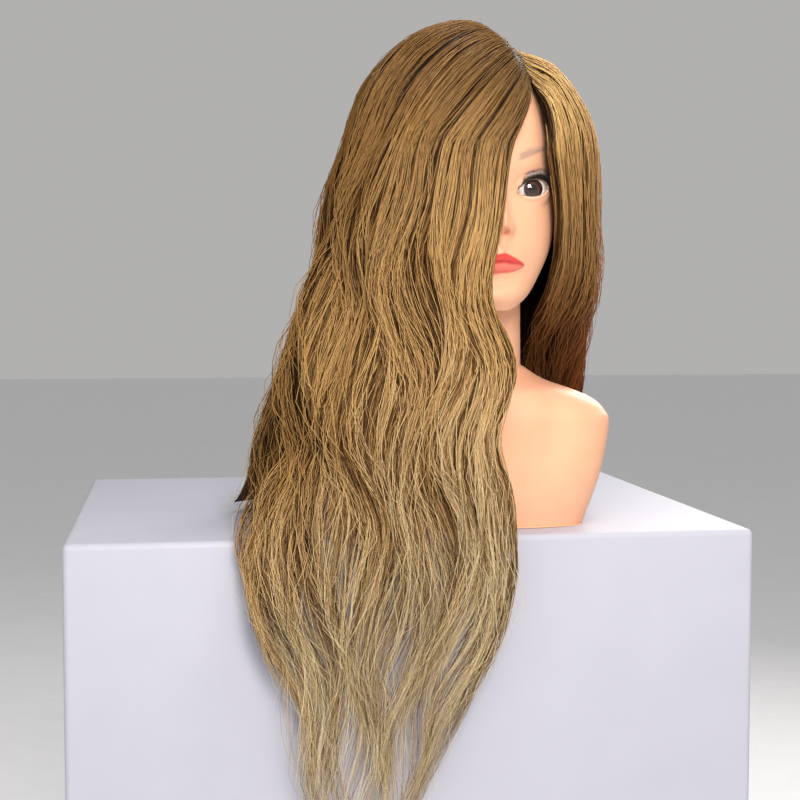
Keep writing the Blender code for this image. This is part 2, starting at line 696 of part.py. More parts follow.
# A guide: parting side, elevation, equator angle, stand-off from the skull, thickness, fall.
FRONT_HAIR = (
    (-1, 38, 2.5, 0.012, FACE_THICKNESS, hanging(
        (0.0105, -FRONT - 0.023), (0.003, -FRONT - 0.023), (0.020, -FRONT - 0.018),
        (0.009, -FRONT - 0.014), (0.024, -FRONT - 0.010), (0.023, -FRONT - 0.008),
        (0.003, -FRONT - 0.007), (-0.036, -FRONT - 0.005), (-0.072, -FRONT - 0.003))),
    (-1, 54, -30, 0.018, FALL_THICKNESS, hanging(
        (-0.034, -FRONT - 0.012), (-0.040, -FRONT - 0.014), (-0.034, -FRONT - 0.014),
        (-0.036, -FRONT - 0.014), (-0.026, -FRONT - 0.012), (-0.026, -FRONT - 0.010),
        (-0.036, -FRONT - 0.008), (-0.058, -FRONT - 0.006), (-0.082, -FRONT - 0.004))),
    (-1, 70, -58, 0.015, FALL_THICKNESS, hanging(
        (-0.074, -0.076), (-0.084, -0.085), (-0.085, -0.097), (-0.085, -0.106),
        (-0.078, -0.114), (-0.076, -0.118), (-0.078, -0.117), (-0.084, -0.116),
        (-0.092, -0.114))),
    (-1, 86, -84, 0.016, FALL_THICKNESS, hanging(
        (-0.101, -0.028), (-0.113, -0.036), (-0.121, -0.050), (-0.126, -0.070),
        (-0.126, -0.094), (-0.122, -0.114), (-0.114, -0.117), (-0.106, -0.116),
        (-0.102, -0.115))),
    (-1, 100, -107, 0.016, FALL_THICKNESS, hanging(
        (-0.104, 0.012), (-0.117, 0.010), (-SHOULDER - 0.001, 0.002), (-SHOULDER - 0.012, -0.020),
        (-SHOULDER - 0.034, -0.070), (-SHOULDER - 0.030, -0.112), (-SHOULDER - 0.017, -0.116),
        (-SHOULDER + 0.001, -0.115), (-SHOULDER + 0.015, -0.114))),
    (-1, 112, -126, 0.016, FALL_THICKNESS, placed(
        ((-0.087, 0.042), (-0.106, 0.046), (-SHOULDER - 0.001, 0.042), (-SHOULDER - 0.020, 0.020)),
        ((-SHOULDER - 0.046, -0.028, 0.036), (-SHOULDER - 0.052, -0.080, 0.016),
         (-SHOULDER - 0.041, -0.114, -0.060), (-SHOULDER - 0.021, -0.115, -0.130),
         (-SHOULDER - 0.001, -0.114, -0.200)))),
)
BACK_HAIR = (
    (-1, 115, -129, 0.016, FALL_THICKNESS, lying(
        ((-0.084, 0.050), (-0.103, 0.056), (-0.126, 0.060), (-SHOULDER - 0.018, 0.062),
         (-SHOULDER - 0.030, 0.076)),
        ((-SHOULDER - 0.039, 0.098), (-SHOULDER - 0.043, 0.120), (-SHOULDER - 0.043, 0.142),
         (-SHOULDER - 0.039, 0.164)))),
    (-1, 123, -154, 0.016, FALL_THICKNESS, lying(
        ((-0.050, 0.080), (-0.060, 0.092), (-0.074, 0.102), (-0.090, REAR + 0.054), (-0.102, REAR + 0.070)),
        ((-0.110, 0.152), (-0.114, 0.176), (-0.112, 0.200), (-0.106, 0.222)))),
    (0, 127, 180, 0.016, FALL_THICKNESS, lying(
        ((-0.010, 0.090), (-0.014, 0.104), (-0.022, 0.118), (-0.032, REAR + 0.074), (-0.040, REAR + 0.092)),
        ((-0.046, 0.176), (-0.048, 0.202), (-0.046, 0.228), (-0.042, 0.252)))),
    (1, 123, 154, 0.016, FALL_THICKNESS, lying(
        ((0.034, 0.086), (0.034, 0.100), (0.030, 0.116), (0.026, REAR + 0.076), (0.022, REAR + 0.096)),
        ((0.018, 0.180), (0.016, 0.206), (0.018, 0.230), (0.022, 0.252)))),
    (1, 114, 128, 0.019, FALL_THICKNESS, lying(
        ((0.078, 0.064), (0.080, 0.080), (0.078, 0.100), (0.076, REAR + 0.064), (0.074, REAR + 0.086)),
        ((0.074, 0.168), (0.074, 0.192), (0.076, 0.214), (0.080, 0.234)))),
    (1, 102, 102, 0.024, FALL_THICKNESS, lying(
        ((0.104, 0.036), (0.108, 0.054), (0.112, 0.074), (0.116, 0.098), (0.120, 0.122)),
        ((0.122, 0.144), (0.124, 0.166), (0.128, 0.186), (0.134, 0.204)))),
)
LEFT_HAIR = (
    (1, 98, 97, 0.024, FALL_THICKNESS, placed(
        ((0.107, 0.022), (0.112, 0.028), (0.114, 0.046), (0.117, 0.068)),
        ((0.118, 0.076, 0.050), (0.117, 0.080, 0.034), (0.116, 0.083, 0.024), (0.115, 0.086, 0.016),
         (0.114, 0.089, 0.010)))),
    (1, 66, 58, 0.0235, FALL_THICKNESS, placed(
        ((0.098, -0.045), (0.105, -0.020), (0.101, 0.040), (0.104, 0.070)),
        ((0.104, 0.074, 0.050), (0.104, 0.079, 0.034), (0.103, 0.083, 0.024), (0.102, 0.087, 0.016),
         (0.101, 0.090, 0.010)))),
    (1, 38, 25, 0.0155, FACE_THICKNESS, placed(
        ((0.063, -0.090), (0.069, -0.030), (0.066, 0.048), (0.082, 0.075)),
        ((0.086, 0.078, 0.050), (0.087, 0.082, 0.034), (0.087, 0.086, 0.024), (0.087, 0.089, 0.016),
         (0.087, 0.092, 0.010)))),
)
HAIR = (
    (
        FRONT_HAIR,
        ("fringe_lock", "right_cheek_lock", "right_temple_lock", "right_ear_lock", "right_shoulder_lock"),
    ),
    (BACK_HAIR, ("back_lock_1", "back_lock_2", "back_lock_3", "back_lock_4", "back_lock_5")),
    (LEFT_HAIR, ("left_temple_lock", "left_cheek_lock")),
)
CROSSING_STEPS = 4
GUIDE_POINTS = CROSSING_STEPS + 1 + len(FALL_LEVELS)


def on_helmet(direction, lift):
    """The point of the skull's ellipsoid, grown by lift, that lies in a direction of the unit ball."""
    reach = Vector((CRANIUM_HALF_WIDTH + lift, CRANIUM_HALF_LENGTH + lift, CRANIUM_RISE + lift))
    return turned_head(SKULL_CENTRE + direction * reach)


def parting_direction(side, elevation):
    """Where a guide is rooted, as a direction of the unit ball. The parting widens at the crown."""
    crown = 1 + max(0, elevation - 100) * 0.10
    x = (PART_OFFSET + side * PART_HALF_WIDTH * crown) / CRANIUM_HALF_WIDTH
    reach = math.sqrt(1 - x * x)
    angle = math.radians(elevation)
    return Vector((x, -math.cos(angle) * reach, math.sin(angle) * reach))


def guide_points(guide):
    """The points of one guide, from the parting to the tip."""
    side, elevation, equator_angle, stand_off, thickness, fall = guide
    root = parting_direction(side, elevation)
    angle = math.radians(equator_angle)
    equator = Vector((math.sin(angle), -math.cos(angle), 0))
    under = CAP_GAP + CAP_THICKNESS + HAIR_GAP + FACET_ALLOWANCE
    points = []
    for k in range(CROSSING_STEPS + 1):
        share = k / CROSSING_STEPS
        lift = mix(under + ROOT_THICKNESS / 2, stand_off, smooth_share(share, 0.0, 1.0))
        points.append(on_helmet(root.slerp(equator, share), lift))
    return points + fall


def hair_point(lines, place, at):
    """The middle of the hair at a place counted in guides and at a length counted in guide points."""
    return through([through(line, at) for line in lines], place)


def hair_outward(lines, place, at):
    """The direction out of the hair's surface."""
    step = 0.04
    around = hair_point(lines, place + step, at) - hair_point(lines, place - step, at)
    down = hair_point(lines, place, at + step) - hair_point(lines, place, at - step)
    return around.cross(down).normalized()


def hair_thickness(full, at):
    """Thin at the root, fullest where the hair falls, and thinner at the tip."""
    root = min(full, ROOT_THICKNESS)
    grown = mix(root, full, smooth_share(at, 1.0, 5.0))
    return mix(grown, min(full, TIP_THICKNESS), smooth_share(at, GUIDE_POINTS - 7, GUIDE_POINTS - 4))


def lock_mesh(rings):
    """A closed bmesh through rings, split into triangles so that neighbouring locks match."""
    bm = bmesh.new()
    rows = [[bm.verts.new(point) for point in ring] for ring in rings]
    count = len(rings[0])
    for lower, upper in zip(rows, rows[1:]):
        for i in range(count):
            j = (i + 1) % count
            if i < count / 2:
                faces = ((lower[i], lower[j], upper[j]), (lower[i], upper[j], upper[i]))
            else:
                faces = ((lower[i], lower[j], upper[i]), (lower[j], upper[j], upper[i]))
            for face in faces:
                bm.faces.new(face)
    for row in (rows[0], rows[-1]):
        for i in range(count // 2 - 1):
            bm.faces.new((row[i], row[i + 1], row[count - 2 - i], row[count - 1 - i]))
    return bm


def make_lock(name, guides, lines, index):
    """One lock: a slab between two guides that follows the hair's surface."""
    rings = []
    for row in range(LOCK_ROWS + 1):
        at = (GUIDE_POINTS - 1) * row / LOCK_ROWS
        spread = (hair_point(lines, index + 1, at) - hair_point(lines, index, at)).length
        inset = min(0.30, LOCK_GAP / 2 / spread)
        outer, inner = [], []
        for k in range(LOCK_COLUMNS + 1):
            place = mix(index + inset, index + 1 - inset, k / LOCK_COLUMNS)
            full = mix(guides[index][4], guides[index + 1][4], smooth_share(place - index, 0.0, 1.0))
            middle = hair_point(lines, place, at)
            half = hair_outward(lines, place, at) * hair_thickness(full, at) / 2
            outer.append(middle + half)
            inner.append(middle - half)
        rings.append(outer + list(reversed(inner)))
    colour = material("blond_hair", (0.32, 0.19, 0.08), 0.5)
    add_object(name, lock_mesh(rings), colour)


def make_hair():
    """All locks of the three sheets of hair."""
    for guides, names in HAIR:
        lines = [guide_points(guide) for guide in guides]
        for index, name in enumerate(names):
            make_lock(name, guides, lines, index)


# ---------------------------------------------------------------- the whole object
def main():
    clear_scene()
    pocket = EYE_RADIUS + EYE_GAP
    openings = [eye_opening_cutter(side) for side in (1, -1)]
    skin_pockets = [eye_pocket_cutter(side, pocket, f"skin_pocket_{side + 1}") for side in (1, -1)]
    core_room = pocket + CORE_GAP
    core_pockets = [eye_pocket_cutter(side, core_room, f"core_pocket_{side + 1}") for side in (1, -1)]
    holes = screw_hole_cutters()
    make_skin(openings + skin_pockets)
    make_core(core_pockets, holes)
    make_base_board(holes)
    make_socket(holes)
    make_screws()
    for side in (1, -1):
        make_eye(side)
        make_lash_strip(side)
    make_scalp_cap()
    make_hair()


main()
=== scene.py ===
"""Looks of a mannequin training head: vinyl skin, painted face, clear-fronted eyes and long waved hair.

Every class makes one sub-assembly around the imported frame.
Lengths are in metres, +Z is up, and the face looks to -Y.
"""

import logging
import math
from dataclasses import dataclass, field
from enum import Enum

import bmesh
import bpy
import numpy as np
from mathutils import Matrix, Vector
from mathutils.bvhtree import BVHTree


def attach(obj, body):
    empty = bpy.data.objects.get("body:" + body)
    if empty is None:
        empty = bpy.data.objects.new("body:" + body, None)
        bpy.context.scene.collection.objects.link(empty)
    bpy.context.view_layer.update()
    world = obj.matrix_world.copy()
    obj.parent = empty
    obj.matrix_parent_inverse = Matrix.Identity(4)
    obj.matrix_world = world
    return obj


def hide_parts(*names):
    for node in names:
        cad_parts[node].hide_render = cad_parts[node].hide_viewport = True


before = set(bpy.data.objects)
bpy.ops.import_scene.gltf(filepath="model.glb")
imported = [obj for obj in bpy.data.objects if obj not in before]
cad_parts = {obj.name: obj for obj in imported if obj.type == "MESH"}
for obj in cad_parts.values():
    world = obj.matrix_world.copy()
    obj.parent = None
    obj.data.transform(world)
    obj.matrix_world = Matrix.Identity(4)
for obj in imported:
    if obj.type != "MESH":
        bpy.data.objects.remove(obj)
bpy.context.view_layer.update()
LOG = logging.getLogger("training_head")
BODY = "root"
OFF_FACE = 9.0
BAKE_MAP = "OFBake"
Values = float | np.ndarray
Fed = float | tuple | bpy.types.NodeSocket


# ---------------------------------------------------------------- numbers
def mix(a: Values, b: Values, share: Values) -> Values:
    """A value or array between a and b, as share goes from 0 to 1."""
    return a + (b - a) * share


def smooth(value: Values, start: float, end: float) -> np.ndarray:
    """0 before start, 1 after end, and an S-curve between them. Works on arrays."""
    share = np.clip((np.asarray(value, float) - start) / (end - start), 0.0, 1.0)
    return share * share * (3 - 2 * share)


def bump(value: Values, width: float) -> np.ndarray:
    """A bell of height 1 at 0, with the width at which it has fallen to 37%."""
    return np.exp(-((np.asarray(value, float) / width) ** 2))


def spline_weights(t: np.ndarray) -> np.ndarray:
    """The four Catmull-Rom weights at a place between the middle two points.

    Args:
        t: places from 0 to 1, of any shape.

    Returns:
        An array with one more axis, of length 4.
    """
    t2, t3 = t * t, t * t * t
    return np.stack((-t + 2 * t2 - t3, 2 - 5 * t2 + 3 * t3, t + 4 * t2 - 3 * t3, -t2 + t3), axis=-1) / 2


def padded_ends(points: np.ndarray) -> np.ndarray:
    """The points with one more at each end, in line with the last two."""
    return np.concatenate((2 * points[:1] - points[1:2], points, 2 * points[-1:] - points[-2:-1]))


def through(points: np.ndarray, at: Values) -> np.ndarray:
    """The Catmull-Rom curve through points.

    Args:
        points: one point for each row.
        at: places counted in points, of any shape.

    Returns:
        The points of the curve, with the shape of at and one more axis.
    """
    at = np.asarray(at, float)
    first = np.clip(np.floor(at).astype(int), 0, len(points) - 2)
    weights = spline_weights(at - first)
    nearby = padded_ends(points)[first[..., None] + np.arange(4)]
    return (nearby * weights[..., None]).sum(-2)


# ---------------------------------------------------------------- nodes
def add(tree: bpy.types.NodeTree, kind: str, inputs: dict | None = None, **settings) -> bpy.types.Node:
    """Place a node, then set or link its inputs.

    Args:
        tree: the tree that the node goes in.
        kind: the node's type name.
        inputs: input name or number to a value, or to the output socket that feeds it.
        settings: the node's own properties.

    Returns:
        The node.
    """
    node = tree.nodes.new(kind)
    for name, value in settings.items():
        setattr(node, name, value)
    for name, value in (inputs or {}).items():
        socket = node.inputs[name]
        if isinstance(value, bpy.types.NodeSocket):
            tree.links.new(value, socket)
        else:
            socket.default_value = value
    return node


def blend_colour(
    tree: bpy.types.NodeTree, share: Fed, a: Fed, b: Fed, way: str = "MIX"
) -> bpy.types.NodeSocket:
    """Mix two colours in a shader tree and give the colour's socket.

    Args:
        tree: the tree that the nodes go in.
        share: how much of the second colour.
        a: the first colour.
        b: the second colour.
        way: how they are blended.

    Returns:
        The mixed colour's socket.
    """
    node = add(tree, "ShaderNodeMix", data_type="RGBA", blend_type=way)
    for socket, value in ((node.inputs[0], share), (node.inputs[6], a), (node.inputs[7], b)):
        if isinstance(value, bpy.types.NodeSocket):
            tree.links.new(value, socket)
        else:
            socket.default_value = value
    return node.outputs[2]


def calculate(tree: bpy.types.NodeTree, way: str, a: Fed, b: Fed = 0.0) -> bpy.types.NodeSocket:
    """One step of arithmetic in a tree, with values or sockets, and its result's socket."""
    return add(tree, "ShaderNodeMath", {0: a, 1: b}, operation=way).outputs[0]


def ramp(tree: bpy.types.NodeTree, share: Fed, stops: tuple) -> bpy.types.NodeSocket:
    """A colour ramp through (place, colour) stops, and its colour's socket.

    Args:
        tree: the tree that the nodes go in.
        share: the place on the ramp.
        stops: (place, colour) pairs, in order.

    Returns:
        The colour's socket.
    """
    node = add(tree, "ShaderNodeValToRGB", {0: share})
    elements = node.color_ramp.elements
    while len(elements) < len(stops):
        elements.new(0.5)
    for element, (place, colour) in zip(elements, stops):
        element.position = place
        element.color = colour
    return node.outputs[0]


def srgb(red: int, green: int, blue: int) -> tuple[float, float, float, float]:
    """A colour given as 0 to 255 on a screen, made linear.

    Args:
        red: red, 0 to 255.
        green: green, 0 to 255.
        blue: blue, 0 to 255.

    Returns:
        Linear red, green, blue and an alpha of 1.
    """

    def linear(value: float) -> float:
        """One channel, from 0 to 1, made linear."""
        return value / 12.92 if value <= 0.04045 else ((value + 0.055) / 1.055) ** 2.4

    return (linear(red / 255), linear(green / 255), linear(blue / 255), 1.0)


WHITE = (1.0, 1.0, 1.0, 1.0)


def group_input(tree: bpy.types.NodeTree, name: str, kind: str, value: float | None = None) -> None:
    """A named input on a node group, with its default value.

    Args:
        tree: the group.
        name: the input's name.
        kind: its socket type.
        value: its default, or None for sockets that have none.
    """
    socket = tree.interface.new_socket(name, in_out="INPUT", socket_type=kind)
    if value is not None:
        socket.default_value = value


def grain_group() -> bpy.types.NodeTree:
    """The shared fine grain of moulded and cast surfaces.

    Returns:
        A group with the inputs Scale and Unevenness, and the outputs Height and Mask.
    """
    name = "Moulded grain"
    found = bpy.data.node_groups.get(name)
    if found:
        return found
    tree = bpy.data.node_groups.new(name, "ShaderNodeTree")
    group_input(tree, "Scale", "NodeSocketFloat", 600.0)
    group_input(tree, "Unevenness", "NodeSocketFloat", 0.4)
    for output in ("Height", "Mask"):
        tree.interface.new_socket(output, in_out="OUTPUT", socket_type="NodeSocketFloat")
    start = add(tree, "NodeGroupInput")
    place = add(tree, "ShaderNodeTexCoord").outputs["Object"]
    fine = add(tree, "ShaderNodeTexNoise", {"Vector": place, "Scale": start.outputs["Scale"], "Detail": 3.0})
    broad = add(tree, "ShaderNodeTexNoise", {"Vector": place, "Scale": 22.0, "Detail": 2.0})
    uneven = calculate(tree, "MULTIPLY", broad.outputs["Fac"], start.outputs["Unevenness"])
    height = calculate(tree, "ADD", fine.outputs["Fac"], uneven)
    add(tree, "NodeGroupOutput", {"Height": height, "Mask": broad.outputs["Fac"]})
    return tree


class Finish:
    """A material with one Principled shader, and short ways to feed it."""

    def __init__(self, name: str, **sockets) -> None:
        """Make the material and set the shader's inputs.

        Args:
            name: the material's name.
            sockets: the shader's inputs, with _ for each space.
        """
        self.material = bpy.data.materials.new(name)
        self.material.use_nodes = True
        self.tree = self.material.node_tree
        self.shader = self.tree.nodes["Principled BSDF"]
        for socket, value in sockets.items():
            self.shader.inputs[socket.replace("_", " ")].default_value = value

    def feed(self, socket: str, value: bpy.types.NodeSocket) -> None:
        """Link a value or colour to one of the shader's inputs."""
        self.tree.links.new(value, self.shader.inputs[socket])

    def value(self, name: str) -> bpy.types.NodeSocket:
        """The number that the mesh carries under a name."""
        return add(self.tree, "ShaderNodeAttribute", attribute_name=name).outputs["Fac"]

    def place(self) -> bpy.types.NodeSocket:
        """The place on the piece, in the frame's own metres."""
        return add(self.tree, "ShaderNodeTexCoord").outputs["Object"]

    def grain(self, scale: float, unevenness: float = 0.4) -> bpy.types.Node:
        """The shared grain with its own values.

        Args:
            scale: how fine the grain is.
            unevenness: how much broad patches add to its height.

        Returns:
            The group's node, with the outputs Height and Mask.
        """
        node = add(self.tree, "ShaderNodeGroup", node_tree=grain_group())
        node.inputs["Scale"].default_value = scale
        node.inputs["Unevenness"].default_value = unevenness
        return node

    def bump(self, height: bpy.types.NodeSocket, strength: float, distance: float) -> None:
        """Feed the normal from a height.

        Args:
            height: the height's socket.
            strength: how strong the bump is.
            distance: how deep it is, in metres.
        """
        inputs = {"Height": height, "Strength": strength, "Distance": distance}
        node = add(self.tree, "ShaderNodeBump", inputs)
        self.feed("Normal", node.outputs["Normal"])


# ---------------------------------------------------------------- meshes
def make_mesh(name: str, points: np.ndarray, faces: list, made_of: bpy.types.Material) -> bpy.types.Object:
    """A smooth-shaded object whose place is in its mesh.

    Args:
        name: the piece's name.
        points: one vertex for each row.
        faces: vertex numbers of each face, turned so that they face out.
        made_of: its material.

    Returns:
        The object, linked to the scene.
    """
    mesh = bpy.data.meshes.new(name)
    mesh.from_pydata(np.asarray(points).tolist(), [], faces)
    mesh.materials.append(made_of)
    mesh.shade_smooth()
    obj = bpy.data.objects.new(name, mesh)
    bpy.context.scene.collection.objects.link(obj)
    return obj


def carry(obj: bpy.types.Object, name: str, values: np.ndarray) -> None:
    """Store one number for each vertex of a mesh."""
    attribute = obj.data.attributes.new(name, "FLOAT", "POINT")
    attribute.data.foreach_set("value", np.asarray(values, np.float32).ravel())


def settle(obj: bpy.types.Object, slot: str, *nodes: str) -> bpy.types.Object:
    """Fix a piece to the object's body, and put it in the place of CAD nodes.

    Args:
        obj: the piece.
        slot: not used.
        nodes: CAD nodes that it stands in for.

    Returns:
        The piece.
    """
    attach(obj, BODY)
    if nodes:
        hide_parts(*nodes)
    LOG.info("%s: %d faces", obj.name, len(obj.data.polygons))
    return obj


ON_AXIS = 1e-7


def lathe(profile: list, steps: int) -> tuple[np.ndarray, list]:
    """Turn a closed loop of (radius, out) points about an axis.

    Args:
        profile: the loop, anticlockwise seen with the radius to the right and out upwards.
        steps: how many faces go round.

    Returns:
        The points as (across, up, out), and the faces. Points on the axis are shared.
    """
    points, rings = [], []
    for radius, out in profile:
        ring = []
        for k in range(1 if radius < ON_AXIS else steps):
            angle = 2 * math.pi * k / steps
            ring.append(len(points))
            points.append((radius * math.cos(angle), radius * math.sin(angle), out))
        rings.append(ring)
    faces = []
    for lower, upper in zip(rings, rings[1:] + rings[:1]):
        for k in range(steps):
            j = (k + 1) % steps
            below = (lower[k % len(lower)], lower[j % len(lower)])
            above = (upper[j % len(upper)], upper[k % len(upper)])
            face = list(dict.fromkeys(below + above))
            if len(face) > 2:
                faces.append(face)
    return np.array(points), faces


# ---------------------------------------------------------------- the form of head and shoulders
@dataclass(frozen=True)
class Form:
    """The outer form of the vinyl skin, with its driving sizes."""

    base_half_width: float = 0.106
    shoulder_half_width: float = 0.129
    chest_depth: float = 0.060
    back_depth: float = 0.058
    shoulder_height: float = 0.082
    neck_root_height: float = 0.132
    neck_half_width: float = 0.049
    neck_half_depth: float = 0.047
    neck_lean: float = 0.012
    chin_height: float = 0.177
    head_turn: float = math.radians(7.5)
    equator_height: float = 0.300
    cranium_half_width: float = 0.0735
    cranium_half_length: float = 0.0925
    cranium_rise: float = 0.095
    cranium_forward: float = 0.0175
    crown_stations: int = 6
    eye_half_spacing: float = 0.0310
    eye_height: float = 0.2715
    eye_depth: float = 0.0835
    eye_radius: float = 0.0165
    eye_gap: float = 0.0003
    lid_thickness: float = 0.0014
    eye_half_opening: float = 0.0138
    eye_upper_opening: float = 0.0078
    eye_lower_opening: float = 0.0064
    eye_tilt: float = 0.12
    nose_height: float = 0.243
    nose_rise: float = 0.0145
    mouth_height: float = 0.2140
    mouth_half_width: float = 0.0250
    wall: float = 0.003

    def turned(self, points: np.ndarray) -> np.ndarray:
        """Points of the head's own frame, turned with the head about the neck axis.

        Args:
            points: x, y and z on the last axis.

        Returns:
            The same points in the frame.
        """
        c, s = math.cos(self.head_turn), math.sin(self.head_turn)
        x, y, z = np.moveaxis(np.asarray(points, float), -1, 0)
        return np.stack((c * x - s * y, s * x + c * y, z), axis=-1)

    def skull_centre(self) -> np.ndarray:
        """The middle of the cranium's equator, in the head's own frame."""
        return np.array((0.0, -self.cranium_forward, self.equator_height))

    @staticmethod
    def oval(
        angle: Values, half_width: Values, front: Values, back: Values, middle: Values, exponent: Values
    ) -> tuple[np.ndarray, np.ndarray]:
        """A rounded outline. Angle 0 is the front, and it grows towards +X.

        Args:
            angle: angles round the axis.
            half_width: reach to each side.
            front: y of the front.
            back: y of the back.
            middle: y of the widest place.
            exponent: 2 for an ellipse, and more for squarer.

        Returns:
            x and y.
        """
        across, along = np.sin(angle), np.cos(angle)
        x = half_width * np.sign(across) * np.abs(across) ** (2 / exponent)
        reach = np.where(along > 0, middle - front, back - middle)
        return x, middle - np.sign(along) * np.abs(along) ** (2 / exponent) * reach

    def bust_stations(self) -> np.ndarray:
        """Height, half width, front, back and exponent, from the base rim to the neck.

        Returns:
            One row for each station.
        """
        neck_front, neck_back = -self.neck_half_depth + 0.002, self.neck_half_depth + 0.004
        slope = self.neck_root_height - self.shoulder_height
        chest, back = -self.chest_depth, self.back_depth
        middle = mix(self.base_half_width, self.shoulder_half_width, 0.62)
        rows = [
            (0.0, self.base_half_width - 0.0012, chest + 0.0072, back - 0.0062, 3.4),
            (0.003, self.base_half_width, chest + 0.006, back - 0.005, 3.4),
            (self.shoulder_height * 0.5, middle, chest, back, 3.1),
        ]
        shares = (
            (0.00, 1.00, 1.00, 2.7),
            (0.24, 0.955, 0.97, 2.5),
            (0.42, 0.84, 0.90, 2.3),
            (0.58, 0.62, 0.74, 2.2),
            (0.76, 0.30, 0.40, 2.1),
            (1.00, 0.06, 0.06, 2.0),
        )
        for rise, width, depth, exponent in shares:
            half = mix(self.neck_half_width, self.shoulder_half_width, width)
            fore, aft = mix(neck_front, chest, depth), mix(neck_back, back, depth)
            rows.append((self.shoulder_height + slope * rise, half, fore, aft, exponent))
        return np.array(rows)

    def face_stations(self) -> np.ndarray:
        """Height, half width, front, back, middle and exponent, from the chin to the equator.

        Returns:
            One row for each station.
        """
        front = self.cranium_forward + self.cranium_half_length
        rear = self.cranium_half_length - self.cranium_forward
        rise = self.equator_height - self.chin_height
        wide = self.cranium_half_width
        rows = (
            (0.00, 0.0410, 0.0160, 0.040, -0.040, 2.0),
            (0.10, 0.0300, 0.0095, 0.036, -0.038, 1.95),
            (0.24, 0.0190, 0.0110, 0.032, -0.036, 2.0),
            (0.38, 0.0105, 0.0080, 0.026, -0.032, 2.05),
            (0.54, 0.0045, 0.0060, 0.018, -0.028, 2.1),
            (0.70, 0.0015, 0.0045, 0.010, -0.024, 2.15),
            (0.85, 0.0005, 0.0025, 0.004, -0.020, 2.1),
            (1.00, 0.0, 0.0, 0.0, -self.cranium_forward, 2.0),
        )
        return np.array([
            (self.chin_height + rise * up, wide - a, -front + b, rear - c, middle, n)
            for up, a, b, c, middle, n in rows
        ])

    def jaw_station(self, angle: np.ndarray) -> np.ndarray:
        """Where the head starts above the neck: the chin in front, the jaw's corners, and the nape."""
        turn = np.abs(angle)
        return 2.5 * smooth(turn, 0.35, 1.75) + 0.5 * smooth(turn, 1.9, 3.0)

    def head_stations(self) -> int:
        """The number of the station at the crown."""
        return len(self.face_stations()) - 1 + self.crown_stations

    def bust(self, angle: np.ndarray, at: Values) -> np.ndarray:
        """The bust's surface at angles and at places counted in stations, with soft collarbones.

        Args:
            angle: angles round the axis.
            at: places counted in stations.

        Returns:
            The points.
        """
        z, half, front, back, exponent = np.moveaxis(through(self.bust_stations(), at), -1, 0)
        x, y = self.oval(angle, half, front, back, 0.0, exponent)
        ridge = self.shoulder_height + 0.026 + 0.10 * np.abs(x)
        side = np.abs(x)
        before = smooth(-y, 0.015, 0.035) * smooth(side, 0.008, 0.03) * (1 - smooth(side, 0.075, 0.11))
        y = y - before * (0.0016 * bump(z - ridge, 0.007) - 0.0014 * bump(z - ridge - 0.013, 0.008))
        return np.stack(np.broadcast_arrays(x, y, z), axis=-1)

    def outline(self, angle: np.ndarray, at: Values) -> np.ndarray:
        """The head without its features, in its own frame.

        Args:
            angle: angles round the axis.
            at: places counted in stations.

        Returns:
            The points.
        """
        stations = self.face_stations()
        last = len(stations) - 1
        z, half, front, back, middle, exponent = np.moveaxis(through(stations, np.minimum(at, last)), -1, 0)
        x, y = self.oval(angle, half, front, back, middle, exponent)
        face = np.stack(np.broadcast_arrays(x, y, z), axis=-1)
        tilt = np.clip((at - last) / self.crown_stations, 0, 1) * math.pi / 2
        crown = np.stack(
            np.broadcast_arrays(
                np.sin(angle) * self.cranium_half_width * np.cos(tilt),
                -self.cranium_forward - np.cos(angle) * self.cranium_half_length * np.cos(tilt),
                self.equator_height + self.cranium_rise * np.sin(tilt),
            ),
            axis=-1,
        )
        return np.where((np.asarray(at) > last)[..., None], crown, face)

    def neck(self, angle: np.ndarray, share: float) -> np.ndarray:
        """The neck, from the bust's last station to just below the jaw.

        Args:
            angle: angles round the axis.
            share: 0 at the bust and 1 below the jaw.

        Returns:
            The points, in the frame.
        """
        root = self.bust(angle, np.full(angle.shape, len(self.bust_stations()) - 1.0))
        jaw = self.outline(angle, self.jaw_station(angle))
        x, y = self.oval(angle, self.neck_half_width, -self.neck_half_depth, self.neck_half_depth, 0.0, 2.0)
        top = self.turned(np.stack((x, y - self.neck_lean, jaw[..., 2] - 0.011), axis=-1))
        return mix(root, top, share)

    def under_jaw(self, angle: np.ndarray, share: float) -> np.ndarray:
        """The curved underside between the neck and the jaw line.

        Args:
            angle: angles round the axis.
            share: 0 at the neck and 1 at the jaw line.

        Returns:
            The points, in the frame.
        """
        neck = self.neck(angle, 1.0)
        jaw = self.turned(self.outline(angle, self.jaw_station(angle)))
        corner = mix(neck, jaw, np.array((0.10, 0.10, 0.75)))
        return mix(mix(neck, corner, share), mix(corner, jaw, share), share)

    def lid_height(self, across: np.ndarray, upper: bool) -> np.ndarray:
        """The height of the lid's edge above the eye's middle, before the eye's tilt.

        Args:
            across: places across, from the eye's middle.
            upper: whether it is the upper lid.

        Returns:
            The heights, negative for the lower lid.
        """
        share = np.clip(np.abs(across) / self.eye_half_opening, 0, 1)
        height = self.eye_upper_opening if upper else -self.eye_lower_opening
        return height * (1 - share**2) ** 0.75

    def lips(self, x: np.ndarray) -> tuple[np.ndarray, np.ndarray, np.ndarray]:
        """Heights of the upper lip's edge, the line between the lips and the lower lip's edge.

        Args:
            x: places across the face.

        Returns:
            Three arrays of heights.
        """
        t = np.clip(np.abs(x) / self.mouth_half_width, 0, 1)
        line = self.mouth_height - 0.0014 * t**2 + 0.0006 * bump(t - 0.22, 0.16)
        upper = line + 0.0078 * (1 - t**1.5) ** 0.95 - 0.0016 * bump(t, 0.13)
        lower = line - 0.0088 * (1 - t**2.0) ** 0.80
        return upper, line, lower

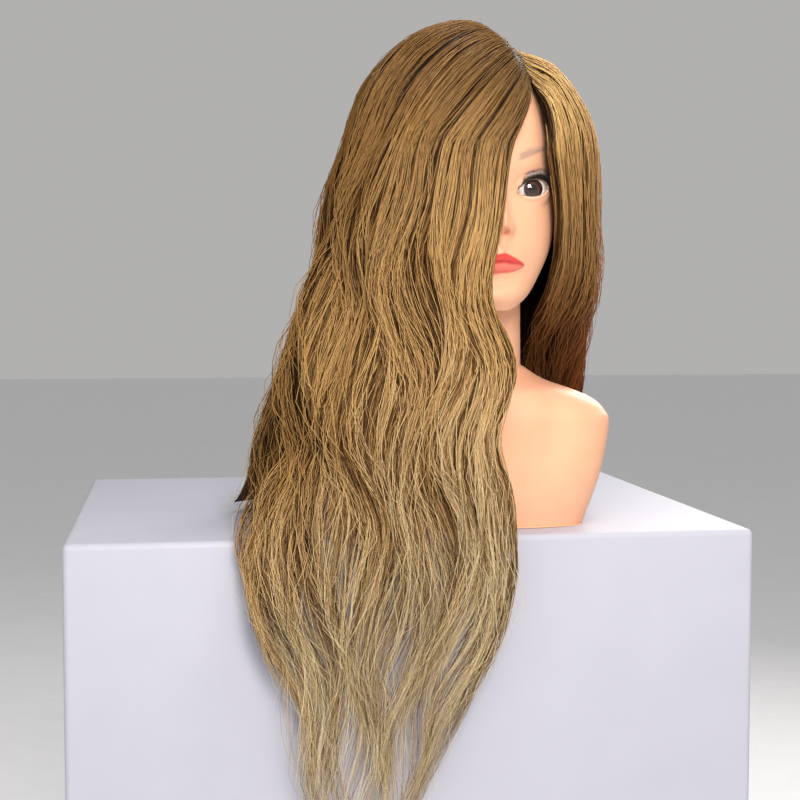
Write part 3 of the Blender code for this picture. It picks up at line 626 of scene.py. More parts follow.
    def relief(self, points: np.ndarray) -> np.ndarray:
        """Push a face out for nose, lips, chin and lids, and in for sockets, nostrils and folds.

        Args:
            points: places on the plain outline, in the head's own frame.

        Returns:
            The same places with their depth changed.
        """
        x, y, z = np.moveaxis(points, -1, 0)
        side = np.abs(x)
        aside, up = side - self.eye_half_spacing, z - self.eye_height
        depth = 0.0065 * bump(aside + 0.003, 0.016) * bump(up - 0.002, 0.0115)
        above = z - self.nose_height
        width = mix(0.0074, 0.0056, smooth(above, 0.0, 0.02))
        tall = np.where(above > 0, bump(above, 0.021), bump(above, 0.0062))
        depth -= self.nose_rise * tall * np.exp(-((x / width) ** 2))
        depth -= 0.0046 * bump(side - 0.0086, 0.0040) * bump(above + 0.0036, 0.0050)
        depth += 0.0030 * bump(side - 0.0050, 0.0021) * bump(above + 0.0062, 0.0022)
        depth -= 0.0022 * bump(x, 0.0042) * bump(above - 0.022, 0.016)
        depth += 0.0009 * bump(x, 0.0024) * bump(z - self.mouth_height - 0.0135, 0.0045)
        depth -= 0.0012 * bump(side - 0.0050, 0.0022) * bump(z - self.mouth_height - 0.0130, 0.0045)
        upper, line, lower = self.lips(x)
        fade = np.clip(1 - (side / self.mouth_half_width) ** 2, 0, 1) ** 0.5
        full = np.clip((z - line) / np.maximum(upper - line, 1e-4), 0, 1) * (z < upper + 0.002)
        low = np.clip((line - z) / np.maximum(line - lower, 1e-4), 0, 1) * (z > lower - 0.002)
        depth -= fade * 0.0032 * np.sin(np.pi * np.clip(full * 0.92 + 0.06 * (full > 0), 0, 1)) ** 0.8
        depth -= fade * 0.0044 * np.sin(np.pi * np.clip(low * 0.92 + 0.06 * (low > 0), 0, 1)) ** 0.8
        depth -= 0.0016 * fade * bump(z - self.mouth_height, 0.011)
        depth += 0.0012 * fade**0.5 * bump(z - line, 0.0007)
        depth += 0.0016 * bump(x, 0.016) * bump(z - self.mouth_height + 0.0150, 0.0042)
        depth -= 0.0020 * bump(x, 0.014) * bump(z - self.mouth_height + 0.0270, 0.0075)
        depth -= 0.0014 * bump(side - 0.040, 0.016) * bump(z - 0.236, 0.016)
        y = y + depth
        lid = self.eye_radius + self.eye_gap + self.lid_thickness
        ball = lid**2 - aside**2 - up**2
        front = -self.eye_depth - np.sqrt(np.maximum(ball, 0))
        soft = 0.0012
        nearer = 0.5 * (y + front - np.sqrt((y - front) ** 2 + soft**2))
        y = np.where(ball > 0, np.minimum(nearer, y), y)
        tilt = up - self.eye_tilt * aside
        crease = tilt - self.lid_height(aside, True) - 0.0042
        fold = 0.0009 * bump(crease, 0.0009) * (1 - smooth(np.abs(aside), 0.010, 0.017))
        return np.stack((x, y + fold, z), axis=-1)


FORM = Form()


class Side(Enum):
    """Which of the mannequin's own sides a paired piece is on."""

    LEFT = 1
    RIGHT = -1

    def word(self) -> str:
        """The side's name in lower case."""
        return self.name.lower()

    def eye_centre(self) -> np.ndarray:
        """The eyeball's centre, in the frame."""
        return FORM.turned(np.array((self.value * FORM.eye_half_spacing, -FORM.eye_depth, FORM.eye_height)))

    def seen(self, points: np.ndarray) -> np.ndarray:
        """Points given as (across, up, out) of the eye, in the frame. Across is to +X on both sides.

        Args:
            points: across, up and out on the last axis.

        Returns:
            The same points in the frame.
        """
        across, up, out = np.moveaxis(np.asarray(points, float), -1, 0)
        turned = FORM.turned(np.stack((across, -out, up), axis=-1))
        return turned + self.eye_centre()


# ---------------------------------------------------------------- vinyl skin
@dataclass
class VinylSkin:
    """The hollow skin of head, neck and shoulders, with its painted face."""

    columns: int = 208
    bust_rows: int = 42
    neck_rows: int = 16
    jaw_rows: int = 14
    face_rows: int = 112
    crown_rows: int = 34
    crowding: float = 0.55

    def angles(self) -> np.ndarray:
        """Angles round the figure, closer together over the face."""
        even = 2 * math.pi * np.arange(self.columns) / self.columns - math.pi
        return even - self.crowding * np.sin(even)

    def head_places(self) -> np.ndarray:
        """Shares of the way from the jaw to the crown, one for each row of the head.

        Returns:
            One share for each row.
        """
        face_end = (len(FORM.face_stations()) - 1) / FORM.head_stations()
        face = np.linspace(0, face_end, self.face_rows, endpoint=False)
        return np.concatenate((face, np.linspace(face_end, 1, self.crown_rows, endpoint=False)))

    def surfaces(self) -> tuple[np.ndarray, np.ndarray, np.ndarray]:
        """The plain and the finished surface, and the finished one in the head's own frame.

        Returns:
            Three arrays of rows by columns of points.
        """
        angle = self.angles()
        last = len(FORM.bust_stations()) - 1
        stations = [last * k / self.bust_rows for k in range(self.bust_rows + 1)]
        lower = [FORM.bust(angle, np.full(angle.shape, station)) for station in stations]
        lower += [FORM.neck(angle, k / self.neck_rows) for k in range(1, self.neck_rows + 1)]
        lower += [FORM.under_jaw(angle, k / self.jaw_rows) for k in range(1, self.jaw_rows)]
        lower = np.array(lower)
        share = self.head_places()[:, None]
        at = mix(FORM.jaw_station(angle)[None, :], FORM.head_stations(), share)
        head = FORM.outline(np.broadcast_to(angle, at.shape), at)
        shaped = FORM.relief(head)
        facing = (np.abs(angle) < math.pi / 2)[None, :, None]
        shaped = np.where(facing & (head[..., 2:] < FORM.equator_height + 0.06), shaped, head)
        self.snap_lids(shaped)
        plain = np.concatenate((lower, FORM.turned(head)))
        finished = np.concatenate((lower, FORM.turned(shaped)))
        own = np.concatenate((np.full(lower.shape, OFF_FACE), shaped))
        return plain, finished, own

    @staticmethod
    def lid_gap(points: np.ndarray) -> tuple[np.ndarray, np.ndarray, np.ndarray]:
        """How far points of the head's own frame are above the upper lid's edge and below the lower one.

        Args:
            points: x, y and z on the last axis.

        Returns:
            The distance above, the distance below, both negative inside the opening, and the place across.
        """
        side = np.abs(points[..., 0]) - FORM.eye_half_spacing
        up = points[..., 2] - FORM.eye_height - FORM.eye_tilt * side
        above, below = up - FORM.lid_height(side, True), FORM.lid_height(side, False) - up
        return above, below, side

    def snap_lids(self, shaped: np.ndarray) -> None:
        """Move the points that rim the eye openings onto the lids' edges.

        Args:
            shaped: rows by columns of points of the head, moved in place.
        """
        above, below, side = self.lid_gap(shaped)
        inside = (above < 0) & (below < 0) & (shaped[..., 1] < -0.05)
        self.opened = inside[:-1] & inside[1:]
        self.opened &= np.roll(self.opened, -1, axis=1)
        kept = ~self.opened
        touches = kept | np.roll(kept, 1, axis=1)
        rim = np.zeros_like(inside)
        rim[:-1] |= touches
        rim[1:] |= touches
        rim &= inside
        move = np.where(above > below, -above, below)
        shaped[..., 2] += np.where(rim, move, 0)
        up = shaped[..., 2] - FORM.eye_height
        lid = FORM.eye_radius + FORM.eye_gap + FORM.lid_thickness
        front = -FORM.eye_depth - np.sqrt(np.maximum(lid**2 - side**2 - up**2, 1e-6))
        shaped[..., 1] = np.where(rim, front, shaped[..., 1])

    def inner(self, plain: np.ndarray, finished: np.ndarray) -> np.ndarray:
        """The inside of the wall, which follows the plain form and the eyes' pockets.

        Args:
            plain: the outline without features.
            finished: the outer surface.

        Returns:
            The inner surface's points.
        """
        along = np.gradient(plain, axis=0)
        around = np.roll(plain, -1, axis=1) - np.roll(plain, 1, axis=1)
        normal = np.cross(around, along)
        normal /= np.maximum(np.linalg.norm(normal, axis=-1, keepdims=True), 1e-12)
        inside = plain - normal * FORM.wall
        inside[0, :, 2] = 0.0
        pocket = FORM.eye_radius + FORM.eye_gap
        for side in Side:
            centre = side.eye_centre()
            for source, reach in ((inside, pocket), (finished, pocket + FORM.lid_thickness * 1.5)):
                away = source - centre
                far = np.linalg.norm(away, axis=-1, keepdims=True)
                inside = np.where(far < reach, centre + away / far * pocket, inside)
        return inside

    def faces(self, rows: int) -> list:
        """Faces of the outer and inner walls, the rim of the base and the rims of the eye openings.

        Args:
            rows: how many rows of points the outer wall has.

        Returns:
            Point numbers of each face.
        """
        columns = self.columns
        inner = rows * columns + 1
        offset = rows - len(self.opened) - 1
        kept = np.ones((rows - 1, columns), bool)
        kept[offset:] = ~self.opened
        made = []
        for r in range(rows - 1):
            for c in range(columns):
                d = (c + 1) % columns
                a, b, e, f = r * columns + c, r * columns + d, (r + 1) * columns + d, (r + 1) * columns + c
                if kept[r, c]:
                    made.append((a, b, e, f))
                    made.append((inner + f, inner + e, inner + b, inner + a))
                    continue
                for near, far, hole in (
                    (a, b, kept[r - 1, c]),
                    (b, e, kept[r, d]),
                    (e, f, kept[r + 1, c]),
                    (f, a, kept[r, c - 1]),
                ):
                    if hole:
                        made.append((near, far, inner + far, inner + near))
        top = (rows - 1) * columns
        for c in range(columns):
            d = (c + 1) % columns
            made.append((d, c, inner + c, inner + d))
            made.append((top + c, top + d, rows * columns))
            made.append((inner + top + d, inner + top + c, inner + rows * columns))
        return made

    def paint(self, obj: bpy.types.Object, own: np.ndarray) -> None:
        """Store where lips, liner, crease, brows and soft reds lie, and the painted shade of the eye sockets,
        nostrils, lip crease and lower lids, for the material.

        Args:
            obj: the skin.
            own: its outer points in the head's own frame.
        """
        x, _, z = np.moveaxis(own, -1, 0)
        side = np.abs(x)
        upper, line, lower = FORM.lips(x)
        inside = np.minimum(upper - z, z - lower)
        within = smooth(FORM.mouth_half_width - side, -0.0004, 0.0014)
        lips = smooth(inside, -0.0005, 0.0006) * within
        # Painted shade: a dark red line along the crease between the lips.
        seam = bump(z - line, 0.0009) * lips
        above, below, across = self.lid_gap(own)
        over = 1 - smooth(np.abs(across) - FORM.eye_half_opening, 0.0002, 0.0022)
        wing = 1 - smooth(across - FORM.eye_half_opening, 0.0030, 0.0062)
        wing *= 1 - smooth(-across - FORM.eye_half_opening, 0.0006, 0.0020)
        heavier = 0.0030 + 0.0042 * smooth(across, -0.001, 0.014)
        liner = (1 - smooth(above, heavier * 0.75, heavier * 1.15)) * smooth(above, -0.0034, -0.0020) * wing
        lower_rim = (1 - smooth(below, 0.0003, 0.0008)) * smooth(below, -0.002, -0.0005) * over
        lower_rim *= smooth(across, -0.0125, -0.0085)
        # Painted shade: a soft darker band just below the lower lid.
        under_eye_shade = bump(below - 0.0026, 0.0011) * over
        crease = smooth(above, heavier, heavier + 0.0009)
        crease = crease * (1 - smooth(above - heavier, 0.0014, 0.0028)) * wing
        fold_line = bump(above - heavier - 0.0030, 0.0006) * wing
        brow_line = FORM.eye_height + 0.0236 + 0.36 * (side - 0.016) - 9.0 * np.maximum(side - 0.030, 0) ** 2
        thick = mix(0.0029, 0.0012, smooth(side, 0.018, 0.050))
        brow = (1 - smooth(np.abs(z - brow_line) - thick, -0.0009, 0.0011)) * smooth(side, 0.013, 0.018)
        brow *= 1 - smooth(side, 0.049, 0.056)
        # Painted shade: an orange-brown mark in the nostril hollow.
        nostril_shade = bump(side - 0.0052, 0.0022) * bump(z - FORM.nose_height + 0.0062, 0.0019)
        cheeks = 0.8 * bump(side - 0.045, 0.020) * bump(z - 0.240, 0.018)
        soft_red = cheeks + 0.5 * bump(x, 0.012) * bump(z - 0.243, 0.011)
        # Painted shade: a slightly darker skin tone over the recessed eye socket.
        socket = bump(across, 0.020) * bump(z - FORM.eye_height - 0.004, 0.013)
        for name, values in (
            ("lips", lips), ("seam", seam), ("liner", liner), ("lower_rim", lower_rim),
            ("under_eye_shade", under_eye_shade), ("crease", crease), ("fold_line", fold_line), ("brow", brow),
            ("nostril_shade", nostril_shade), ("soft_red", soft_red), ("socket", socket),
            ("upper_lip", lips * smooth(z - line, -0.0004, 0.0008)),
        ):
            flat = np.concatenate((values.ravel(), [0.0], np.zeros(values.size + 1)))
            carry(obj, name, flat)

    def vinyl(self) -> bpy.types.Material:
        """Soft peach vinyl with a satin surface, the painted face, and painted shade in the eye sockets,
        nostrils, lip crease and below the lower lids.

        Returns:
            The material.
        """
        finish = Finish("vinyl_skin", Subsurface_Weight=0.10, Subsurface_Scale=0.004, Specular_IOR_Level=0.42)
        finish.shader.inputs["Subsurface Radius"].default_value = (1.0, 0.45, 0.25)
        tree, grain = finish.tree, finish.grain(1400.0, 0.8)
        skin = ramp(tree, grain.outputs["Mask"], ((0.3, srgb(234, 172, 136)), (0.7, srgb(241, 184, 148))))
        layers = (
            ("soft_red", srgb(248, 178, 142), 0.55),
            # Painted shade over the eye socket.
            ("socket", srgb(226, 166, 132), 0.35),
            ("crease", srgb(204, 202, 206), 1.0),
            ("fold_line", srgb(84, 58, 48), 0.85),
            ("brow", srgb(166, 136, 124), 0.72),
            # Painted shade in the nostril hollow.
            ("nostril_shade", srgb(216, 118, 70), 0.85),
            ("lips", srgb(234, 116, 100), 1.0),
            ("upper_lip", srgb(216, 72, 66), 1.0),
            # Painted shade along the crease between the lips.
            ("seam", srgb(150, 40, 38), 0.65),
            # Painted shade below the lower lid.
            ("under_eye_shade", srgb(206, 142, 110), 0.45),
            ("lower_rim", srgb(240, 204, 184), 0.9),
            ("liner", srgb(14, 10, 10), 1.0),
        )
        for name, colour, strength in layers:
            share = calculate(tree, "MULTIPLY", finish.value(name), strength)
            skin = blend_colour(tree, share, skin, colour)
        finish.feed("Base Color", skin)
        rough = calculate(tree, "MULTIPLY_ADD", finish.value("lips"), -0.24)
        rough.node.inputs[2].default_value = 0.44
        finish.feed("Roughness", rough)
        finish.bump(grain.outputs["Height"], 0.05, 0.0004)
        return finish.material

    def build(self) -> bpy.types.Object:
        """Make the skin, paint it and put it in the place of its CAD node.

        Returns:
            The skin.
        """
        plain, finished, own = self.surfaces()
        inside = self.inner(plain, finished)
        top = FORM.turned(FORM.skull_centre() + np.array((0, 0, FORM.cranium_rise)))
        rows = len(finished)
        points = np.concatenate(
            (finished.reshape(-1, 3), [top], inside.reshape(-1, 3), [top - np.array((0, 0, FORM.wall))])
        )
        obj = make_mesh("vinyl_skin", points, self.faces(rows), self.vinyl())
        self.paint(obj, own)
        drop_loose(obj)
        return settle(obj, "vinyl_skin", "bust_skin")


def drop_loose(obj: bpy.types.Object) -> None:
    """Remove the points that no face uses.

    Args:
        obj: the piece, changed in place.
    """
    bm = bmesh.new()
    bm.from_mesh(obj.data)
    bmesh.ops.delete(bm, geom=[v for v in bm.verts if not v.link_faces], context="VERTS")
    bm.to_mesh(obj.data)
    bm.free()


# ---------------------------------------------------------------- strands
def strand_tree() -> bpy.types.NodeTree:
    """The Geometry Nodes tree that makes closed, tapered fibres from chains of edges.

    Each point carries girth, along, tone and loose. The tree ruffles the loose points with a seeded noise,
    sweeps a small ring along each chain, and closes both ends.

    Returns:
        The tree.
    """
    name = "Fibres"
    found = bpy.data.node_groups.get(name)
    if found:
        return found
    tree = bpy.data.node_groups.new(name, "GeometryNodeTree")
    group_input(tree, "Chains", "NodeSocketGeometry")
    group_input(tree, "Fibre Radius", "NodeSocketFloat", 0.0003)
    group_input(tree, "Sides", "NodeSocketInt", 3)
    group_input(tree, "Ruffle", "NodeSocketFloat", 0.002)
    group_input(tree, "Ruffle Scale", "NodeSocketFloat", 45.0)
    group_input(tree, "Seed", "NodeSocketInt", 1)
    group_input(tree, "Material", "NodeSocketMaterial")
    tree.interface.new_socket("Fibres", in_out="OUTPUT", socket_type="NodeSocketGeometry")
    start = add(tree, "NodeGroupInput").outputs

    def carried(attribute: str) -> bpy.types.NodeSocket:
        """The number that each point carries under a name."""
        return add(tree, "GeometryNodeInputNamedAttribute", {"Name": attribute}, data_type="FLOAT").outputs[0]

    curves = add(tree, "GeometryNodeMeshToCurve", {0: start["Chains"]}).outputs[0]
    place = add(tree, "GeometryNodeInputPosition").outputs[0]
    noise = add(
        tree,
        "ShaderNodeTexNoise",
        {"Vector": place, "W": start["Seed"], "Scale": start["Ruffle Scale"], "Detail": 2.0},
        noise_dimensions="4D",
    )
    middle = (0.5, 0.5, 0.5)
    centred = add(tree, "ShaderNodeVectorMath", {0: noise.outputs["Color"], 1: middle}, operation="SUBTRACT")
    amount = calculate(tree, "MULTIPLY", carried("loose"), start["Ruffle"])
    offset = add(tree, "ShaderNodeVectorMath", {0: centred.outputs[0], "Scale": amount}, operation="SCALE")
    moved = add(tree, "GeometryNodeSetPosition", {"Geometry": curves, "Offset": offset.outputs[0]})
    radius = calculate(tree, "MULTIPLY", carried("girth"), start["Fibre Radius"])
    sized = add(tree, "GeometryNodeSetCurveRadius", {"Curve": moved.outputs[0], "Radius": radius})
    ring = add(tree, "GeometryNodeCurvePrimitiveCircle", {"Resolution": start["Sides"], "Radius": 1.0})
    swept = {"Curve": sized.outputs[0], "Profile Curve": ring.outputs[0]}
    sweep = add(tree, "GeometryNodeCurveToMesh", swept)
    sweep.inputs["Fill Caps"].default_value = True
    if "Scale" in sweep.inputs:
        tree.links.new(radius, sweep.inputs["Scale"])
    flat = add(tree, "ShaderNodeCombineXYZ", {"X": carried("tone"), "Y": carried("along")})
    mapped = add(
        tree,
        "GeometryNodeStoreNamedAttribute",
        {"Geometry": sweep.outputs[0], "Name": BAKE_MAP, "Value": flat.outputs[0]},
        data_type="FLOAT2",
        domain="CORNER",
    )
    smooth_shaded = add(tree, "GeometryNodeSetShadeSmooth", {"Geometry": mapped.outputs[0]})
    real = add(tree, "GeometryNodeRealizeInstances", {"Geometry": smooth_shaded.outputs[0]})
    made_of = {"Geometry": real.outputs[0], "Material": start["Material"]}
    dressed = add(tree, "GeometryNodeSetMaterial", made_of)
    add(tree, "NodeGroupOutput", {0: dressed.outputs[0]})
    return tree


@dataclass
class Fibres:
    """Many fibres of one piece, swept by Geometry Nodes."""

    name: str
    radius: float
    sides: int = 3
    ruffle: float = 0.0
    ruffle_scale: float = 45.0
    seed: int = 1

    def build(self, paths: np.ndarray, made_of: bpy.types.Material, **values: np.ndarray) -> bpy.types.Object:
        """Make the piece.

        Args:
            paths: fibres by points by 3.
            made_of: the fibres' material.
            values: girth, along, tone and loose, each fibres by points.

        Returns:
            The object, whose mesh is plain.
        """
        count, length = paths.shape[:2]
        starts = np.arange(count)[:, None] * length + np.arange(length - 1)
        edges = np.stack((starts, starts + 1), axis=-1).reshape(-1, 2)
        mesh = bpy.data.meshes.new(self.name + "_chains")
        mesh.from_pydata(paths.reshape(-1, 3).tolist(), edges.tolist(), [])
        chains = bpy.data.objects.new(self.name + "_chains", mesh)
        bpy.context.scene.collection.objects.link(chains)
        for name in ("girth", "along", "tone", "loose"):
            carry(chains, name, values[name])
        modifier = chains.modifiers.new("fibres", "NODES")
        modifier.node_group = strand_tree()
        sizes = {
            "Fibre Radius": self.radius, "Sides": self.sides, "Ruffle": self.ruffle,
            "Ruffle Scale": self.ruffle_scale, "Seed": self.seed, "Material": made_of,
        }
        for item in modifier.node_group.interface.items_tree:
            if item.in_out == "INPUT" and item.name in sizes:
                modifier[item.identifier] = sizes[item.name]
        graph = bpy.context.evaluated_depsgraph_get()
        made = bpy.data.meshes.new_from_object(chains.evaluated_get(graph), depsgraph=graph)
        made.name = self.name
        bpy.data.objects.remove(chains)
        obj = bpy.data.objects.new(self.name, made)
        bpy.context.scene.collection.objects.link(obj)
        return obj


# ---------------------------------------------------------------- eyes
@dataclass
class Eye:
    """One eye: white shell, printed iris, clear dome and the upper lashes."""

    side: Side
    iris_radius: float = 0.0072
    dome_thickness: float = 0.0007
    white_wall: float = 0.0012
    iris_thickness: float = 0.0008
    iris_dish: float = 0.0009
    white_end: float = math.radians(84)
    dome_end: float = math.radians(80)
    steps: int = 72
    lashes: int = 64
    lash_length: float = 0.0080
    lash_lift: float = 0.0002
    band_runs: int = 12
    band_step: float = 0.163

    def shell(self, outer: float, inner: float, start: float, end: float, rows: int) -> list:
        """The (radius, out) loop of a spherical shell between two angles from the pole.

        Args:
            outer: outer radius.
            inner: inner radius.
            start: first angle from the pole.
            end: last angle from the pole.
            rows: points on each side of the wall.

        Returns:
            The loop's points.
        """
        angles = np.linspace(start, end, rows)
        profile = [(inner * math.sin(a), inner * math.cos(a)) for a in angles]
        return profile + [(outer * math.sin(a), outer * math.cos(a)) for a in reversed(angles)]

    def turned_piece(
        self, name: str, profile: list, made_of: bpy.types.Material, slot: str, node: str
    ) -> bpy.types.Object:
        """A turned piece of the eye, in place of its CAD node.

        Args:
            name: the piece's name without its side.
            profile: its (radius, out) loop.
            made_of: its material.
            slot: its finish's slot.
            node: its CAD node without its side.

        Returns:
            The piece.
        """
        points, faces = lathe(profile, self.steps)
        obj = make_mesh(f"{self.side.word()}_{name}", self.side.seen(points), faces, made_of)
        carry(obj, "reach", np.hypot(points[:, 0], points[:, 1]) / self.iris_radius)
        carry(obj, "across", points[:, 0] / self.iris_radius)
        carry(obj, "up", points[:, 1] / self.iris_radius)
        return settle(obj, slot, f"{self.side.word()}_{node}")

    def build(self, finishes: "EyeFinishes") -> None:
        """Make all pieces of the eye.

        Args:
            finishes: the materials that both eyes share.
        """
        white_radius = FORM.eye_radius - self.dome_thickness - FORM.eye_gap
        edge = math.asin((self.iris_radius + FORM.eye_gap) / (white_radius - self.white_wall))
        white = self.shell(white_radius, white_radius - self.white_wall, edge, self.white_end, 20)
        self.turned_piece("eye_white_ball", white, finishes.white, "eye_white", "eye_white")
        front = white_radius * math.cos(edge)
        back = front - self.iris_thickness
        rings = np.linspace(0, self.iris_radius, 26)
        printed = [(r, front - self.iris_dish * (1 - r / self.iris_radius)) for r in rings[::-1]]
        disc = [(0.0, back), (self.iris_radius, back)] + printed
        self.turned_piece("iris_disc", disc, finishes.iris, "iris", "iris")
        dome = self.shell(FORM.eye_radius, FORM.eye_radius - self.dome_thickness, 0.0, self.dome_end, 22)
        self.turned_piece("clear_dome", dome, finishes.dome, "clear_acrylic", "eye_dome")
        self.build_lashes(finishes.lash)

    def build_lashes(self, made_of: bpy.types.Material) -> None:
        """The fan of upper lashes, and the band that they are knotted on.

        Args:
            made_of: the lashes' material.
        """
        draw = np.random.default_rng(11 + self.side.value)
        lid = FORM.eye_radius + FORM.eye_gap + FORM.lid_thickness + 0.0003
        share = np.linspace(-0.96, 0.96, self.lashes) + draw.normal(0, 0.012, self.lashes)
        across = share * FORM.eye_half_opening
        outward = across * self.side.value
        up = FORM.lid_height(across, True) + FORM.eye_tilt * outward + self.lash_lift
        out = np.sqrt(lid**2 - across**2 - up**2)
        root = np.stack((across, up, out), axis=-1)
        length = self.lash_length * mix(0.55, 1.0, smooth(outward, -0.012, 0.009))
        length = length * draw.uniform(0.8, 1.05, self.lashes)
        aside = across * 30 + draw.normal(0, 0.06, self.lashes)
        sweep = np.stack((aside, 0.25 + up * 14, np.ones(self.lashes)), axis=-1)
        sweep /= np.linalg.norm(sweep, axis=-1, keepdims=True)
        t = np.linspace(0, 1, 9)[None, :, None]
        rise = np.array((0.0, 1.0, 0.0)) * (length[:, None, None] * 0.95 * t**2)
        paths = root[:, None] + sweep[:, None] * length[:, None, None] * t * (1 - 0.25 * t) + rise
        strip = self.band(lid)
        every = np.concatenate((paths, strip))
        girth = np.concatenate(
            (np.broadcast_to(1 - 0.85 * t[..., 0] ** 1.5, paths.shape[:2]), np.full(strip.shape[:2], 2.6))
        )
        flat = np.zeros(every.shape[:2])
        fibres = Fibres(f"{self.side.word()}_lashes", 0.00019, 5)
        obj = fibres.build(self.side.seen(every), made_of, girth=girth, along=flat, tone=flat, loose=flat)
        settle(obj, "lash_fibre", f"{self.side.word()}_lash_strip")

    def band(self, lid: float) -> np.ndarray:
        """The strip that the lashes are knotted on, as overlapping runs of fibre along the lid.

        Args:
            lid: radius of the lid's outer surface.

        Returns:
            Runs by points by 3, as (across, up, out).
        """
        runs = []
        for k in range(self.band_runs):
            share = np.linspace(-0.98 + k * self.band_step, -0.98 + (k + 1) * self.band_step, 9)
            across = np.clip(share, -1, 1) * FORM.eye_half_opening
            up = FORM.lid_height(across, True) + FORM.eye_tilt * across * self.side.value + self.lash_lift
            out = np.sqrt(lid**2 - across**2 - up**2)
            runs.append(np.stack((across, up, out), axis=-1))
        return np.array(runs)


class EyeFinishes:
    """The four materials that both eyes share."""

    def __init__(self) -> None:
        """Make the materials."""
        self.white = self.eye_white()
        self.iris = self.printed_iris()
        self.dome = self.clear_dome()
        self.lash = Finish("lash_fibre", Base_Color=srgb(14, 11, 11), Roughness=0.45).material

    def eye_white(self) -> bpy.types.Material:
        """Polished white plastic, greyed and warmed all over as painted shade from the lids.

        Returns:
            The material.
        """
        finish = Finish("eye_white", Roughness=0.22, Coat_Weight=0.3)
        # Painted shade: the ramp darkens and warms outward from the eye's axis, and the white lies past its
        # last stop, so it takes the darker colour all over.
        stops = ((0.0, srgb(214, 209, 205)), (1.0, srgb(196, 184, 178)))
        colour = ramp(finish.tree, finish.value("reach"), stops)
        finish.feed("Base Color", colour)
        return finish.material

    def printed_iris(self) -> bpy.types.Material:
        """Brown iris print with a black pupil, fine rays and a dark rim.

        Returns:
            The material.
        """
        finish = Finish("printed_iris", Roughness=0.65, Specular_IOR_Level=0.12)
        tree, reach = finish.tree, finish.value("reach")
        flat = {"X": finish.value("across"), "Y": finish.value("up"), "Z": 0.0}
        place = add(tree, "ShaderNodeCombineXYZ", flat)
        ray = add(tree, "ShaderNodeVectorMath", {0: place.outputs[0]}, operation="NORMALIZE")
        fine = {"Vector": ray.outputs[0], "Scale": 9.0, "Detail": 6.0, "Roughness": 0.7}
        rays = add(tree, "ShaderNodeTexNoise", fine)
        shifted = calculate(tree, "MULTIPLY_ADD", calculate(tree, "SUBTRACT", rays.outputs["Fac"], 0.5), 0.16)
        tree.links.new(reach, shifted.node.inputs[2])
        black, rim = srgb(10, 7, 7), srgb(22, 13, 11)
        stops = (
            (0.0, black), (0.42, black), (0.47, srgb(42, 19, 14)), (0.62, srgb(72, 35, 24)),
            (0.78, srgb(50, 24, 17)), (0.88, rim), (1.0, rim),
        )
        finish.feed("Base Color", ramp(tree, shifted, stops))
        return finish.material

    def clear_dome(self) -> bpy.types.Material:
        """Clear acrylic that lets the lamps through to the iris.

        Returns:
            The material.
        """
        finish = Finish("clear_acrylic", Roughness=0.02, Transmission_Weight=1.0, IOR=1.45)
        tree = finish.tree
        clear = add(tree, "ShaderNodeBsdfTransparent")
        shadow = add(tree, "ShaderNodeLightPath").outputs["Is Shadow Ray"]
        parts = {0: shadow, 1: finish.shader.outputs[0], 2: clear.outputs[0]}
        either = add(tree, "ShaderNodeMixShader", parts)
        output = next(n for n in tree.nodes if n.type == "OUTPUT_MATERIAL")
        tree.links.new(either.outputs[0], output.inputs["Surface"])
        return finish.material


# ---------------------------------------------------------------- hair
@dataclass(frozen=True)
class HairColour:
    """The dye of one stretch of hair, from root to tip."""

    name: str
    root: tuple
    grown: tuple
    middle: tuple
    end: tuple
    tip: tuple

    def stops(self) -> tuple:
        """The dye's colours at their places from root to tip."""
        places = (0.03, 0.15, 0.40, 0.70, 0.98)
        return tuple(zip(places, (self.root, self.grown, self.middle, self.end, self.tip)))

    def material(self) -> bpy.types.Material:
        """Fibres that lighten along their length and differ from one to the next.

        Returns:
            The material.
        """
        finish = Finish(self.name, Roughness=0.46, Specular_IOR_Level=0.17)
        tree = finish.tree
        along, tone = finish.value("along"), finish.value("tone")
        shift = calculate(tree, "MULTIPLY_ADD", calculate(tree, "SUBTRACT", tone, 0.5), 0.30)
        tree.links.new(along, shift.node.inputs[2])
        dyed = ramp(tree, shift, self.stops())
        fair = ((0.0, srgb(44, 34, 25)), (0.32, srgb(108, 91, 74)), (0.66, srgb(208, 195, 176)), (1.0, WHITE))
        # The tone carries each fibre's own streak and the lock's painted shade.
        streak = ramp(tree, tone, fair)
        finish.feed("Base Color", blend_colour(tree, 1.0, dyed, streak, "MULTIPLY"))
        return finish.material

    def under_material(self) -> bpy.types.Material:
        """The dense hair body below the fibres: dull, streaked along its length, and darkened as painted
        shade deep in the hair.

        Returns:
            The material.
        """
        finish = Finish(self.name + "_under", Roughness=0.75, Specular_IOR_Level=0.15)
        tree = finish.tree
        lane = calculate(tree, "MULTIPLY", finish.value("lane"), 60.0)
        run = calculate(tree, "MULTIPLY", finish.value("along"), 2.5)
        flat = add(tree, "ShaderNodeCombineXYZ", {"X": lane, "Y": run})
        streaks = add(tree, "ShaderNodeTexNoise", {"Vector": flat.outputs[0], "Scale": 1.0, "Detail": 4.0})
        dyed = ramp(tree, finish.value("along"), self.stops())
        # Painted shade: the streaks multiply the dye down to dark brown, for the shade deep inside the hair.
        shade = ramp(tree, streaks.outputs["Fac"], ((0.35, srgb(58, 44, 32)), (0.68, srgb(128, 108, 88))))
        finish.feed("Base Color", blend_colour(tree, 1.0, dyed, shade, "MULTIPLY"))
        return finish.material


@dataclass(frozen=True)
class Guide:
    """The middle of the hair's thickness along one lock's edge, from the parting to the tip."""

    side: int
    elevation: float
    equator_angle: float
    stand_off: float
    thickness: float
    fall: tuple


